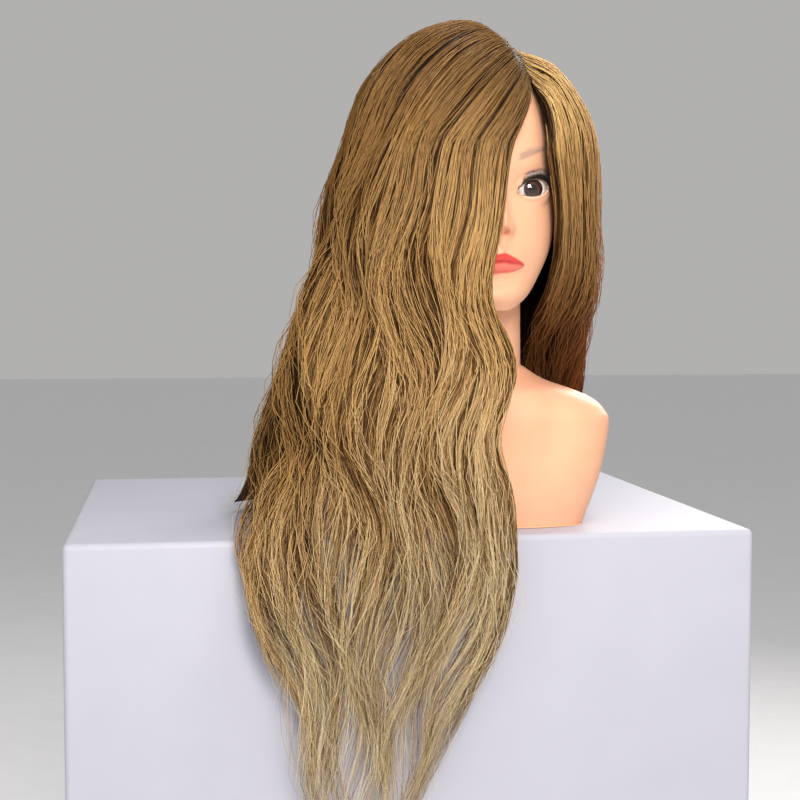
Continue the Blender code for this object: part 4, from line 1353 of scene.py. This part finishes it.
FACE_THICKNESS, FULL_THICKNESS, ROOT_THICKNESS, TIP_THICKNESS = 0.009, 0.019, 0.010, 0.010
BROW = FORM.cranium_forward + FORM.cranium_half_length
FALL_LEVELS = (0.245, 0.190, 0.135, 0.080, 0.030, -0.030, -0.100, -0.170, -0.235)
LYING_HEIGHT = 0.0085


def fall(*places: tuple) -> tuple:
    """Points of a falling lock. A pair goes to its own level of the fall, and a triple is used as it is."""
    return tuple((*place, level) if len(place) == 2 else place for place, level in zip(places, FALL_LEVELS))


def lying(*places: tuple) -> tuple:
    """Points that lie beside the bust, for the end of a fall."""
    return tuple((x, y, LYING_HEIGHT) for x, y in places)


FRONT_SHEET = (
    Guide(-1, 38, 2.5, 0.012, FACE_THICKNESS, fall(
        (0.0105, -BROW - 0.023), (0.003, -BROW - 0.023), (0.020, -BROW - 0.018), (0.009, -BROW - 0.014),
        (0.024, -BROW - 0.010), (0.023, -BROW - 0.008), (0.003, -BROW - 0.007), (-0.036, -BROW - 0.005),
        (-0.072, -BROW - 0.003))),
    Guide(-1, 54, -30, 0.018, FULL_THICKNESS, fall(
        (-0.034, -BROW - 0.012), (-0.040, -BROW - 0.014), (-0.034, -BROW - 0.014), (-0.036, -BROW - 0.014),
        (-0.026, -BROW - 0.012), (-0.026, -BROW - 0.010), (-0.036, -BROW - 0.008), (-0.058, -BROW - 0.006),
        (-0.082, -BROW - 0.004))),
    Guide(-1, 70, -58, 0.015, FULL_THICKNESS, fall(
        (-0.074, -0.076), (-0.084, -0.085), (-0.085, -0.097), (-0.085, -0.106), (-0.078, -0.114),
        (-0.076, -0.118), (-0.078, -0.117), (-0.084, -0.116), (-0.092, -0.114))),
    Guide(-1, 86, -84, 0.016, FULL_THICKNESS, fall(
        (-0.101, -0.028), (-0.113, -0.036), (-0.121, -0.050), (-0.126, -0.070), (-0.126, -0.094),
        (-0.122, -0.114), (-0.114, -0.117), (-0.106, -0.116), (-0.102, -0.115))),
    Guide(-1, 100, -107, 0.016, FULL_THICKNESS, fall(
        (-0.104, 0.012), (-0.117, 0.010), (-0.130, 0.002), (-0.141, -0.020), (-0.163, -0.070),
        (-0.159, -0.112), (-0.146, -0.116), (-0.128, -0.115), (-0.114, -0.114))),
    Guide(-1, 112, -126, 0.016, FULL_THICKNESS, fall(
        (-0.087, 0.042), (-0.106, 0.046), (-0.130, 0.042), (-0.149, 0.020), (-0.175, -0.028, 0.036),
        (-0.181, -0.080, 0.016), (-0.170, -0.114, -0.060), (-0.150, -0.115, -0.130),
        (-0.130, -0.114, -0.200))),
)
BACK_SHEET = (
    Guide(-1, 115, -129, 0.016, FULL_THICKNESS, fall(
        (-0.084, 0.050), (-0.103, 0.056), (-0.126, 0.060), (-0.147, 0.062), (-0.159, 0.076))
        + lying((-0.168, 0.098), (-0.172, 0.120), (-0.172, 0.142), (-0.168, 0.164))),
    Guide(-1, 123, -154, 0.016, FULL_THICKNESS, fall(
        (-0.050, 0.080), (-0.060, 0.092), (-0.074, 0.102), (-0.090, 0.112), (-0.102, 0.128))
        + lying((-0.110, 0.152), (-0.114, 0.176), (-0.112, 0.200), (-0.106, 0.222))),
    Guide(0, 127, 180, 0.016, FULL_THICKNESS, fall(
        (-0.010, 0.090), (-0.014, 0.104), (-0.022, 0.118), (-0.032, 0.132), (-0.040, 0.150))
        + lying((-0.046, 0.176), (-0.048, 0.202), (-0.046, 0.228), (-0.042, 0.252))),
    Guide(1, 123, 154, 0.016, FULL_THICKNESS, fall(
        (0.034, 0.086), (0.034, 0.100), (0.030, 0.116), (0.026, 0.134), (0.022, 0.154))
        + lying((0.018, 0.180), (0.016, 0.206), (0.018, 0.230), (0.022, 0.252))),
    Guide(1, 114, 128, 0.019, FULL_THICKNESS, fall(
        (0.078, 0.064), (0.080, 0.080), (0.078, 0.100), (0.076, 0.122), (0.074, 0.144))
        + lying((0.074, 0.168), (0.074, 0.192), (0.076, 0.214), (0.080, 0.234))),
    Guide(1, 102, 102, 0.024, FULL_THICKNESS, fall(
        (0.104, 0.036), (0.108, 0.054), (0.112, 0.074), (0.116, 0.098), (0.120, 0.122))
        + lying((0.122, 0.144), (0.124, 0.166), (0.128, 0.186), (0.134, 0.204))),
)
LEFT_SHEET = (
    Guide(1, 98, 97, 0.024, FULL_THICKNESS, fall(
        (0.107, 0.022), (0.112, 0.028), (0.114, 0.046), (0.117, 0.068), (0.118, 0.076, 0.050),
        (0.117, 0.080, 0.034), (0.116, 0.083, 0.024), (0.115, 0.086, 0.016), (0.114, 0.089, 0.010))),
    Guide(1, 66, 58, 0.0235, FULL_THICKNESS, fall(
        (0.098, -0.045), (0.105, -0.020), (0.101, 0.040), (0.104, 0.070), (0.104, 0.074, 0.050),
        (0.104, 0.079, 0.034), (0.103, 0.083, 0.024), (0.102, 0.087, 0.016), (0.101, 0.090, 0.010))),
    Guide(1, 38, 25, 0.0155, FACE_THICKNESS, fall(
        (0.063, -0.090), (0.069, -0.030), (0.066, 0.048), (0.082, 0.075), (0.086, 0.078, 0.050),
        (0.087, 0.082, 0.034), (0.087, 0.086, 0.024), (0.087, 0.089, 0.016), (0.087, 0.092, 0.010))),
)


FRONT_LOCKS = {
    "fringe_lock": 920, "right_cheek_lock": 920, "right_temple_lock": 920, "right_ear_lock": 880,
    "right_shoulder_lock": 760,
}
BACK_LOCKS = {f"back_lock_{k}": 400 for k in range(1, 6)}
LEFT_LOCKS = {"left_temple_lock": 800, "left_cheek_lock": 800}


@dataclass
class Sheet:
    """One sheet of hair through its guides."""

    guides: tuple
    part_offset: float = 0.028
    part_half_width: float = 0.0006
    crossing_steps: int = 4
    under: float = 0.0052

    def __post_init__(self) -> None:
        """Work out the guides' points."""
        self.lines = np.array([self.line(guide) for guide in self.guides])
        self.thickness = np.array([(guide.thickness,) for guide in self.guides])
        padded = padded_ends(self.lines)
        self.grid = np.stack([padded_ends(line) for line in padded])
        self.last = self.lines.shape[1] - 1

    def line(self, guide: Guide) -> list:
        """The points of one guide, from the parting over the skull to the tip.

        Args:
            guide: the guide.

        Returns:
            Its points, in the frame.
        """
        crown = 1 + max(0.0, guide.elevation - 100) * 0.10
        x = (self.part_offset + guide.side * self.part_half_width * crown) / FORM.cranium_half_width
        reach, rise = math.sqrt(1 - x * x), math.radians(guide.elevation)
        root = Vector((x, -math.cos(rise) * reach, math.sin(rise) * reach))
        turn = math.radians(guide.equator_angle)
        equator = Vector((math.sin(turn), -math.cos(turn), 0))
        skull = np.array((FORM.cranium_half_width, FORM.cranium_half_length, FORM.cranium_rise))
        points = []
        for k in range(self.crossing_steps + 1):
            share = k / self.crossing_steps
            lift = mix(self.under + ROOT_THICKNESS / 2, guide.stand_off, float(smooth(share, 0, 1)))
            direction = np.array(root.slerp(equator, share))
            points.append(FORM.turned(FORM.skull_centre() + direction * (skull + lift)))
        return points + [np.array(point) for point in guide.fall]

    def point(self, place: np.ndarray, at: np.ndarray) -> np.ndarray:
        """The middle of the hair at places counted in guides and in guide points.

        Args:
            place: places counted in guides.
            at: places counted in guide points.

        Returns:
            The points.
        """
        i = np.clip(np.floor(place).astype(int), 0, len(self.guides) - 2)
        j = np.clip(np.floor(at).astype(int), 0, self.last - 1)
        across, down = spline_weights(place - i), spline_weights(at - j)
        found = np.zeros((*np.shape(place), 3))
        for a in range(4):
            for b in range(4):
                found += self.grid[i + a, j + b] * (across[..., a] * down[..., b])[..., None]
        return found

    def axes(self, place: np.ndarray, at: np.ndarray) -> tuple[np.ndarray, np.ndarray]:
        """Unit vectors across the sheet and out of it.

        Args:
            place: places counted in guides.
            at: places counted in guide points.

        Returns:
            The vectors across and the vectors out.
        """
        step = 0.04
        across = self.point(place + step, at) - self.point(place - step, at)
        down = self.point(place, at + step) - self.point(place, at - step)
        out = np.cross(across, down)
        out /= np.linalg.norm(out, axis=-1, keepdims=True)
        side = np.cross(down, out)
        return side / np.linalg.norm(side, axis=-1, keepdims=True), out

    def half_thickness(self, place: np.ndarray, at: np.ndarray) -> np.ndarray:
        """Half the sheet's thickness: thin at the root, fullest in the fall, thinner at the tip.

        Args:
            place: places counted in guides.
            at: places counted in guide points.

        Returns:
            Half thicknesses.
        """
        full = through(self.thickness, place)[..., 0]
        root = np.minimum(full, ROOT_THICKNESS)
        grown = mix(root, full, smooth(at, 1.0, 5.0))
        return mix(grown, np.minimum(full, TIP_THICKNESS), smooth(at, self.last - 6.0, self.last - 3.0)) / 2

    def lengths(self, place: float, samples: int = 160) -> np.ndarray:
        """Arc length from the root at evenly spaced guide places.

        Args:
            place: the place counted in guides.
            samples: how many places are measured.

        Returns:
            One length for each sample.
        """
        at = np.linspace(0, self.last, samples)
        points = self.point(np.full(at.shape, place), at)
        steps = np.linalg.norm(np.diff(points, axis=0), axis=-1)
        return np.concatenate(([0.0], np.cumsum(steps)))

    def at_length(self, place: np.ndarray, length: np.ndarray) -> np.ndarray:
        """Guide places at given lengths, between the lengths of the two guides beside each place.

        Args:
            place: places counted in guides.
            length: lengths from the root.

        Returns:
            Places counted in guide points.
        """
        first = int(np.clip(np.floor(place.min()), 0, len(self.guides) - 2))
        share = place - first
        found = []
        for k in (first, first + 1):
            table = self.lengths(float(k))
            at = np.linspace(0, self.last, len(table))
            found.append(np.interp(length, table, at))
        return mix(found[0], found[1], share)


@dataclass
class Lock:
    """One lock of a sheet: its fibres, and the dense body of hair beneath them."""

    name: str
    sheet: Sheet
    index: int
    colour: bpy.types.Material
    under_colour: bpy.types.Material
    seed: int
    fibres: int = 520
    points: int = 40
    clumps: int = 120
    fibre_radius: float = 0.00027
    wavelength: float = 0.170
    wave: float = 0.0100
    wave_depth: float = 0.0065
    wave_start: float = 0.10
    shift: float = 0.0
    # Painted shade: how much the tone of the lock's upper part is lowered.
    shade: float = 0.0
    longest: float = 0.68
    body_end: float = 0.57
    reach_before: float = 0.0
    reach_after: float = 0.0

    def stations(self) -> np.ndarray:
        """Shares of a fibre's length, further apart over the skull and even after it."""
        share = np.linspace(0, 1, self.points)
        return share * (0.55 + 0.45 * smooth(share, 0.0, 0.35))

    def draw(self) -> dict:
        """Choose each fibre's place, depth, start, end, clump and tone; deeper fibres get a darker tone, as
        painted shade.

        Returns:
            One array for each quantity.
        """
        rng = np.random.default_rng(self.seed)
        clump = rng.integers(0, self.clumps, self.fibres)
        clump_share = (np.arange(self.clumps) + rng.uniform(0.1, 0.9, self.clumps)) / self.clumps
        low, high = -self.reach_before, 1 + self.reach_after
        clump_share = mix(low, high, clump_share)
        clump_depth = 1 - 1.7 * rng.uniform(0, 1, self.clumps) ** 1.4
        spread = rng.normal(0, 0.55 / self.clumps, self.fibres)
        depth = np.clip(clump_depth[clump] + rng.normal(0, 0.16, self.fibres), -1, 1)
        tone = 0.50 * rng.uniform(0, 1, self.clumps)[clump] + 0.50 * rng.uniform(0, 1, self.fibres)
        stray = rng.uniform(0, 1, self.fibres) > 0.95
        depth = np.where(stray, 1.3, depth)
        # Painted shade: fibres deeper in the lock get a darker tone.
        tone = np.where(stray, 0.95, np.clip(0.5 + 1.25 * (tone - 0.5) + 0.22 * depth, 0, 1))
        return {
            "rng": rng,
            "clump": clump,
            "home": clump_share[clump],
            "place": np.clip(clump_share[clump] + spread * 2.2, low, high),
            "depth": depth,
            "tone": tone,
            "stray": stray,
            "start": np.clip((0.55 - depth) * 0.075, 0, 1) * rng.uniform(0.4, 1, self.fibres),
            "end": 1 - 0.60 * rng.uniform(0, 1, self.fibres) ** 1.25,
            "phase": rng.normal(0, 0.42, self.clumps)[clump] + rng.normal(0, 0.16, self.fibres),
            "swing": rng.uniform(0.65, 1.25, self.clumps)[clump],
        }

    def swell(self, place: np.ndarray, length: np.ndarray, phase: Values) -> tuple[np.ndarray, np.ndarray]:
        """The broad waves that neighbouring fibres share: sideways and outwards. They fade at the face.

        Args:
            place: places counted in guides.
            length: lengths from the root.
            phase: each fibre's own shift of the wave.

        Returns:
            The sideways and the outward moves.
        """
        grown = smooth(length, self.wave_start, self.wave_start + 0.16)
        grown = grown * mix(0.30, 1.0, smooth(place, 0.05, 0.8))
        broad = 1.1 * np.sin(2.3 * place + 0.6) + 0.7 * np.sin(6.1 * place + 2.0)
        turn = 2 * math.pi * length / self.wavelength + broad + phase
        return self.wave * grown * np.sin(turn), self.wave_depth * grown * np.sin(turn + 0.9)

    def frizz(self, drawn: dict, length: np.ndarray) -> tuple[np.ndarray, np.ndarray]:
        """Small waves of each fibre's own, sideways and outwards, which grow towards the tip.

        Args:
            drawn: what draw gave, with its random source.
            length: lengths from the root.

        Returns:
            The sideways and the outward moves.
        """
        rng, found = drawn["rng"], []
        grown = mix(0.0004, 0.0030, smooth(length, 0.05, 0.60))
        wild = mix(0.6, 1.2, rng.uniform(0, 1, self.fibres)) + 3.0 * drawn["stray"]
        for _ in range(2):
            total = 0.0
            for wavelength, share in ((0.120, 1.0), (0.062, 0.45)):
                own = wavelength * rng.uniform(0.8, 1.25, self.fibres)[:, None]
                phase = rng.uniform(0, 2 * math.pi, self.fibres)[:, None]
                total = total + share * np.sin(2 * math.pi * length / own + phase)
            found.append(total * grown * wild[:, None] * 0.6)
        return found[0], found[1]

    def edge_lengths(self) -> list[float]:
        """Lengths of the two guides at the lock's edges, from the parting to the tip."""
        return [self.sheet.lengths(float(self.index + k))[-1] for k in (0, 1)]

    def paths(self) -> tuple[np.ndarray, np.ndarray, np.ndarray]:
        """The fibres' points, their lengths from the root, and their tones with the painted shade taken off.

        Returns:
            Three arrays of fibres by points.
        """
        drawn = self.draw()
        total = mix(*self.edge_lengths(), drawn["home"])
        begin, end = drawn["start"][:, None], (total * drawn["end"])[:, None]
        length = mix(begin, end, self.stations()[None, :] / self.stations()[-1])
        gather = 0.45 * smooth(length, 0.05, 0.30)
        fraction = mix(drawn["place"][:, None], drawn["home"][:, None], gather)
        place = self.index + fraction
        at = self.sheet.at_length(place, length)
        side, out = self.sheet.axes(place, at)
        half = self.sheet.half_thickness(place, at)
        swing = drawn["swing"][:, None]
        sway, heave = (swing * part for part in self.swell(place, length, drawn["phase"][:, None]))
        across, lift = self.frizz(drawn, length)
        rooted = smooth(length - begin, 0.0, 0.035)
        depth = mix(-0.98, drawn["depth"][:, None], rooted) * half * 0.86
        points = self.sheet.point(place, at) + side * (sway + across)[..., None]
        points = points + out * (depth + heave + lift)[..., None]
        # Painted shade: the tone is lowered from the root down to the middle of the fall.
        shade = self.shade * (1 - smooth(length, 0.42, 0.66)) * smooth(length, 0.0, 0.10)
        return points, length, np.clip(drawn["tone"][:, None] - shade, 0, 1)

    def body(self) -> tuple[np.ndarray, list, np.ndarray]:
        """The dense hair below the fibres: a closed slab that stops before the tips.

        Returns:
            The points, the faces, and each point's length from the root.
        """
        rows, columns = 56, 9
        ends = self.edge_lengths()
        fraction = np.linspace(0.02 - self.reach_before, 0.98 + self.reach_after, columns)[None, :]
        length = np.linspace(0.045, self.body_end, rows)[:, None] * mix(ends[0], ends[1], fraction)
        place = self.index + np.broadcast_to(fraction, length.shape)
        at = self.sheet.at_length(place, length)
        side, out = self.sheet.axes(place, at)
        half = self.sheet.half_thickness(place, at)
        sway, heave = self.swell(place, length, 0.0)
        middle = self.sheet.point(place, at) + side * sway[..., None] + out * heave[..., None]
        thin = (1 - 0.85 * smooth(length, 0.25, ends[0] * 0.60)) * mix(0.3, 1.0, smooth(length, 0.02, 0.08))
        upper = middle + out * (half * 0.30 * thin)[..., None]
        lower = middle - out * (half * 0.55 * thin)[..., None]
        rings = np.concatenate((upper, lower[:, ::-1]), axis=1)
        depth = np.concatenate((length, length[:, ::-1]), axis=1)
        count = rings.shape[1]
        faces = []
        for r in range(rows - 1):
            for c in range(count):
                d = (c + 1) % count
                faces.append((r * count + c, r * count + d, (r + 1) * count + d, (r + 1) * count + c)[::-1])
        faces.append(list(range(count)))
        faces.append(list(range((rows - 1) * count, rows * count))[::-1])
        return rings.reshape(-1, 3), faces, depth

    def lighter(self) -> float:
        """How much further along its dye the lock is than its length says: lighter by the face and darker
        further round the head, partly the dye's face-framing and partly painted light and shade.
        """
        return 0.22 - 0.085 * self.index + self.shift

    def build(self, clear: "Clearance") -> None:
        """Make the lock's fibres and body, clear of the skin and of the surface under the base.

        Args:
            clear: what keeps the hair out of the skin.
        """
        points, length, tone = self.paths()
        points = clear.outside(points)
        share = length / length[:, -1:]
        girth = smooth(share, -0.05, 0.08) * (1 - 0.72 * smooth(share, 0.55, 1.0))
        loose = smooth(length, 0.10, 0.50)
        fibres = Fibres(f"{self.name}_fibres", self.fibre_radius, 3, 0.009, 26.0, self.seed)
        along = length / self.longest + self.lighter() * smooth(length, 0.03, 0.16)
        obj = fibres.build(points, self.colour, girth=girth, along=along, tone=tone, loose=loose)
        settle(obj, "hair", self.name)
        rings, faces, depth = self.body()
        body = make_mesh(f"{self.name}_body", clear.outside(rings), faces, self.under_colour)
        carry(body, "along", depth / self.longest + self.lighter() * smooth(depth, 0.03, 0.16))
        lanes = np.linspace(0, 1, depth.shape[1] // 2)
        carry(body, "lane", np.broadcast_to(np.concatenate((lanes, lanes[::-1])) + self.index, depth.shape))
        settle(body, "hair")


class Clearance:
    """Keeps hair outside the skin and above the surface that the bust stands on."""

    def __init__(self, skin: bpy.types.Object, edge: float) -> None:
        """Read the skin's surface and set the margins.

        Args:
            skin: the skin, with its faces.
            edge: y of the front edge of the surface under the base.
        """
        graph = bpy.context.evaluated_depsgraph_get()
        self.tree = BVHTree.FromObject(skin, graph)
        self.edge = edge
        self.margin, self.lift = 0.0012, 0.0014
        self.edge_slack, self.search = 0.004, 0.03
        self.low, self.high = Vector((-0.14, -0.13, 0.0)), Vector((0.14, 0.09, 0.40))

    def outside(self, points: np.ndarray) -> np.ndarray:
        """Points moved out of the skin where they were in it, and up off the surface.

        Args:
            points: points on the last axis.

        Returns:
            An array of the same shape.
        """
        flat = points.reshape(-1, 3).copy()
        near = np.all((flat > np.array(self.low)) & (flat < np.array(self.high)), axis=1)
        for k in np.nonzero(near)[0]:
            place = Vector(flat[k])
            found, normal, _, distance = self.tree.find_nearest(place, self.search)
            if found is None:
                continue
            if (place - found).dot(normal) < self.margin and normal.dot(found - Vector((0, 0, found.z))) > 0:
                flat[k] = found + normal * self.margin
        over = flat[:, 1] > self.edge - self.edge_slack
        flat[:, 2] = np.where(over, np.maximum(flat[:, 2], self.lift), flat[:, 2])
        return flat.reshape(points.shape)


@dataclass
class Hair:
    """All twelve locks, in three sheets."""

    ledge: float = -0.085
    reaches: dict = field(default_factory=lambda: {
        "left_temple_lock": {"reach_before": 0.45}, "back_lock_5": {"reach_after": 0.20},
        "back_lock_1": {"reach_before": 0.25},
    })

    def build(self, skin: bpy.types.Object) -> None:
        """Make every lock. Locks at a sheet's edge reach over the gap to the next sheet.

        Args:
            skin: the skin that the locks stay clear of.
        """
        ombre = HairColour(
            "ombre_hair", root=srgb(72, 50, 29), grown=srgb(120, 88, 49), middle=srgb(186, 146, 90),
            end=srgb(228, 188, 126), tip=srgb(240, 220, 176),
        )
        warm = HairColour(
            "warm_ends_hair", root=srgb(88, 60, 34), grown=srgb(226, 188, 126), middle=srgb(206, 164, 106),
            end=srgb(164, 106, 60), tip=srgb(156, 92, 50),
        )
        clear = Clearance(skin, self.ledge)
        looks = {colour: (colour.material(), colour.under_material()) for colour in (ombre, warm)}
        # The back sheet's shift of -0.12 darkens its dye, as painted shade.
        back_sizes = {"points": 36, "shift": -0.12, "wave": 0.007, "wave_depth": 0.003, "body_end": 0.88}
        left_sizes = {"points": 32, "wave": 0.003, "wave_depth": 0.002, "body_end": 0.86}
        for guides, names, colour, sizes in (
            (FRONT_SHEET, FRONT_LOCKS, ombre, {"points": 36}),
            (BACK_SHEET, BACK_LOCKS, ombre, back_sizes),
            (LEFT_SHEET, LEFT_LOCKS, warm, left_sizes),
        ):
            sheet = Sheet(guides)
            for index, (name, count) in enumerate(names.items()):
                seed = 20 + len(name) * 7 + index
                # Painted shade: front locks darker by 0.10 for each step round the side, back and left locks
                # by 0.18.
                shade = 0.10 * index if sheet.guides is FRONT_SHEET else 0.18
                own = {**sizes, **self.reaches.get(name, {})}
                lock = Lock(name, sheet, index, *looks[colour], seed, fibres=count, shade=shade, **own)
                lock.build(clear)


# ---------------------------------------------------------------- hidden pieces and base
class BaseFinishes:
    """Materials for the CAD pieces that stay: core, board, socket, screws and scalp cap."""

    def foam(self) -> bpy.types.Material:
        """Rigid foam with open pores.

        Returns:
            The material.
        """
        finish = Finish("rigid_foam", Roughness=0.92)
        pores = add(finish.tree, "ShaderNodeTexVoronoi", {"Vector": finish.place(), "Scale": 420.0})
        stops = ((0.1, srgb(196, 184, 150)), (0.6, srgb(238, 230, 206)))
        colour = ramp(finish.tree, pores.outputs["Distance"], stops)
        finish.feed("Base Color", colour)
        finish.bump(pores.outputs["Distance"], 0.5, 0.001)
        return finish.material

    def moulded(
        self, name: str, dark: tuple, light: tuple, roughness: float, scale: float
    ) -> bpy.types.Material:
        """Moulded plastic with a fine grain and slightly uneven colour.

        Args:
            name: the material's name.
            dark: colour of the darker patches.
            light: colour of the lighter patches.
            roughness: its roughness.
            scale: how fine its grain is.

        Returns:
            The material.
        """
        finish = Finish(name, Roughness=roughness)
        grain = finish.grain(scale, 0.6)
        finish.feed("Base Color", ramp(finish.tree, grain.outputs["Mask"], ((0.3, dark), (0.7, light))))
        finish.bump(grain.outputs["Height"], 0.18, 0.0006)
        return finish.material

    def zinc(self) -> bpy.types.Material:
        """Zinc-plated steel, a little cloudy.

        Returns:
            The material.
        """
        finish = Finish("screw_steel", Metallic=1.0)
        grain = finish.grain(900.0, 1.0)
        stops = ((0.3, srgb(176, 178, 182)), (0.7, srgb(206, 206, 204)))
        finish.feed("Base Color", ramp(finish.tree, grain.outputs["Mask"], stops))
        rough = calculate(finish.tree, "MULTIPLY_ADD", grain.outputs["Mask"], 0.3)
        rough.node.inputs[2].default_value = 0.18
        finish.feed("Roughness", rough)
        return finish.material

    def woven(self) -> bpy.types.Material:
        """Dark brown cap cloth with a fine weave.

        Returns:
            The material.
        """
        finish = Finish("scalp_cap_cloth", Roughness=1.0, Specular_IOR_Level=0.0)
        tree, place = finish.tree, finish.place()
        warp = add(tree, "ShaderNodeTexWave", {"Vector": place, "Scale": 190.0}, bands_direction="X")
        weft = add(tree, "ShaderNodeTexWave", {"Vector": place, "Scale": 190.0}, bands_direction="Z")
        weave = calculate(tree, "MAXIMUM", warp.outputs["Fac"], weft.outputs["Fac"])
        finish.feed("Base Color", ramp(tree, weave, ((0.2, srgb(34, 22, 13)), (0.9, srgb(72, 49, 30)))))
        finish.bump(weave, 0.4, 0.0005)
        return finish.material

    def dress(self) -> None:
        """Give each CAD node that stays its material."""
        black = self.moulded("black_plastic", srgb(30, 30, 31), srgb(44, 44, 46), 0.42, 700.0)
        looks = {
            "foam_core": self.foam(),
            "base_board": self.moulded("base_board", srgb(70, 66, 62), srgb(88, 84, 80), 0.62, 380.0),
            "socket_tube": black,
            "scalp_cap": self.woven(),
        }
        steel = self.zinc()
        for name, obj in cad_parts.items():
            made_of = steel if name.startswith("socket_screw") else looks.get(name)
            if made_of is None:
                continue
            obj.data.materials.clear()
            obj.data.materials.append(made_of)
            LOG.info("%s: CAD node with %s", name, made_of.name)


# ---------------------------------------------------------------- studio
@dataclass
class Studio:
    """Plain plinth and floor, soft lamps and the camera."""

    ledge: float = -0.085
    floor_height: float = -0.52
    floor_half_width: float = 14.0
    camera_distance: float = 1.263
    camera_azimuth: float = -10.6
    camera_height: float = 0.179
    camera_pan: float = 2.15
    camera_tilt: float = 3.49
    lens: float = 67.7

    def pale(self, name: str, colour: tuple, roughness: float) -> bpy.types.Material:
        """A plain pale surface with hardly visible mottling.

        Args:
            name: the material's name.
            colour: its colour.
            roughness: its roughness.

        Returns:
            The material.
        """
        finish = Finish(name, Roughness=roughness)
        grain = finish.grain(60.0, 0.3)
        lighter = tuple(min(1.0, c * 1.03) for c in colour[:3]) + (1.0,)
        finish.feed("Base Color", ramp(finish.tree, grain.outputs["Mask"], ((0.3, colour), (0.7, lighter))))
        return finish.material

    def plinth(self) -> bpy.types.Object:
        """The block that the bust stands on, near its front edge.

        Returns:
            The block.
        """
        low, high = (-0.32, self.ledge, self.floor_height), (0.23, 0.36, 0.0)
        points = np.array([[(low, high)[(k >> n) & 1][n] for n in range(3)] for k in range(8)])
        faces = [(0, 2, 3, 1), (4, 5, 7, 6), (0, 1, 5, 4), (2, 6, 7, 3), (0, 4, 6, 2), (1, 3, 7, 5)]
        obj = make_mesh("plinth", points, faces, self.pale("plinth_paint", srgb(176, 176, 188), 0.5))
        edge = obj.modifiers.new("eased edge", "BEVEL")
        edge.width = 0.005
        edge.segments = 4
        return obj

    def floor(self) -> bpy.types.Object:
        """A wide pale floor.

        Returns:
            The floor.
        """
        size = self.floor_half_width
        corners = ((-size, -size), (size, -size), (size, size), (-size, size))
        points = np.array([(x, y, self.floor_height) for x, y in corners])
        return make_mesh("floor", points, [(0, 1, 2, 3)], self.pale("floor_paint", srgb(236, 236, 238), 0.7))

    def lamp(self, name: str, place: tuple, aim: tuple, size: float, power: float, colour: tuple) -> None:
        """A soft square lamp that points at a place.

        Args:
            name: its name.
            place: where it stands.
            aim: the place it points at.
            size: its side.
            power: its power in watts.
            colour: its colour.
        """
        data = bpy.data.lights.new(name, "AREA")
        data.shape = "SQUARE"
        data.size = size
        data.energy = power
        data.color = colour
        obj = bpy.data.objects.new(name, data)
        obj.location = place
        obj.rotation_euler = (Vector(aim) - Vector(place)).to_track_quat("-Z", "Y").to_euler()
        bpy.context.scene.collection.objects.link(obj)

    def camera(self) -> None:
        """The camera at the view that shows the parting side."""
        data = bpy.data.cameras.new("camera")
        data.lens = self.lens
        data.sensor_width = 36.0
        obj = bpy.data.objects.new("camera", data)
        azimuth = math.radians(self.camera_azimuth)
        obj.location = (
            math.sin(azimuth) * self.camera_distance,
            -math.cos(azimuth) * self.camera_distance,
            self.camera_height,
        )
        obj.rotation_euler = (
            math.radians(90 - self.camera_tilt),
            0,
            math.radians(self.camera_azimuth + self.camera_pan),
        )
        bpy.context.scene.collection.objects.link(obj)
        bpy.context.scene.camera = obj

    def build(self) -> None:
        """Make the stage, the lamps, the world and the camera."""
        self.plinth()
        self.floor()
        aim = (-0.02, -0.02, 0.16)
        self.lamp("key", (-0.02, -1.55, 0.80), aim, 0.45, 28.0, (1.0, 0.96, 0.91))
        self.lamp("fill", (-1.0, -1.3, 0.45), aim, 1.3, 5.0, (0.95, 0.97, 1.0))
        self.lamp("top", (0.25, -0.25, 1.45), aim, 0.5, 10.0, (1.0, 0.97, 0.93))
        self.lamp("rim", (0.9, 1.1, 0.8), aim, 0.8, 12.0, (1.0, 0.98, 0.95))
        world = bpy.data.worlds.new("studio")
        world.use_nodes = True
        back = world.node_tree.nodes["Background"]
        back.inputs["Color"].default_value = (0.98, 0.97, 0.96, 1.0)
        back.inputs["Strength"].default_value = 0.45
        bpy.context.scene.world = world
        bpy.context.scene.view_settings.view_transform = "Standard"
        self.camera()


# ---------------------------------------------------------------- the whole object
def main() -> None:
    """Build every piece, then the studio."""
    logging.basicConfig(level=logging.INFO, format="%(name)s: %(message)s")
    skin = VinylSkin().build()
    finishes = EyeFinishes()
    for side in Side:
        Eye(side).build(finishes)
    BaseFinishes().dress()
    Hair().build(skin)
    Studio().build()


if __name__ == "__main__":
    main()
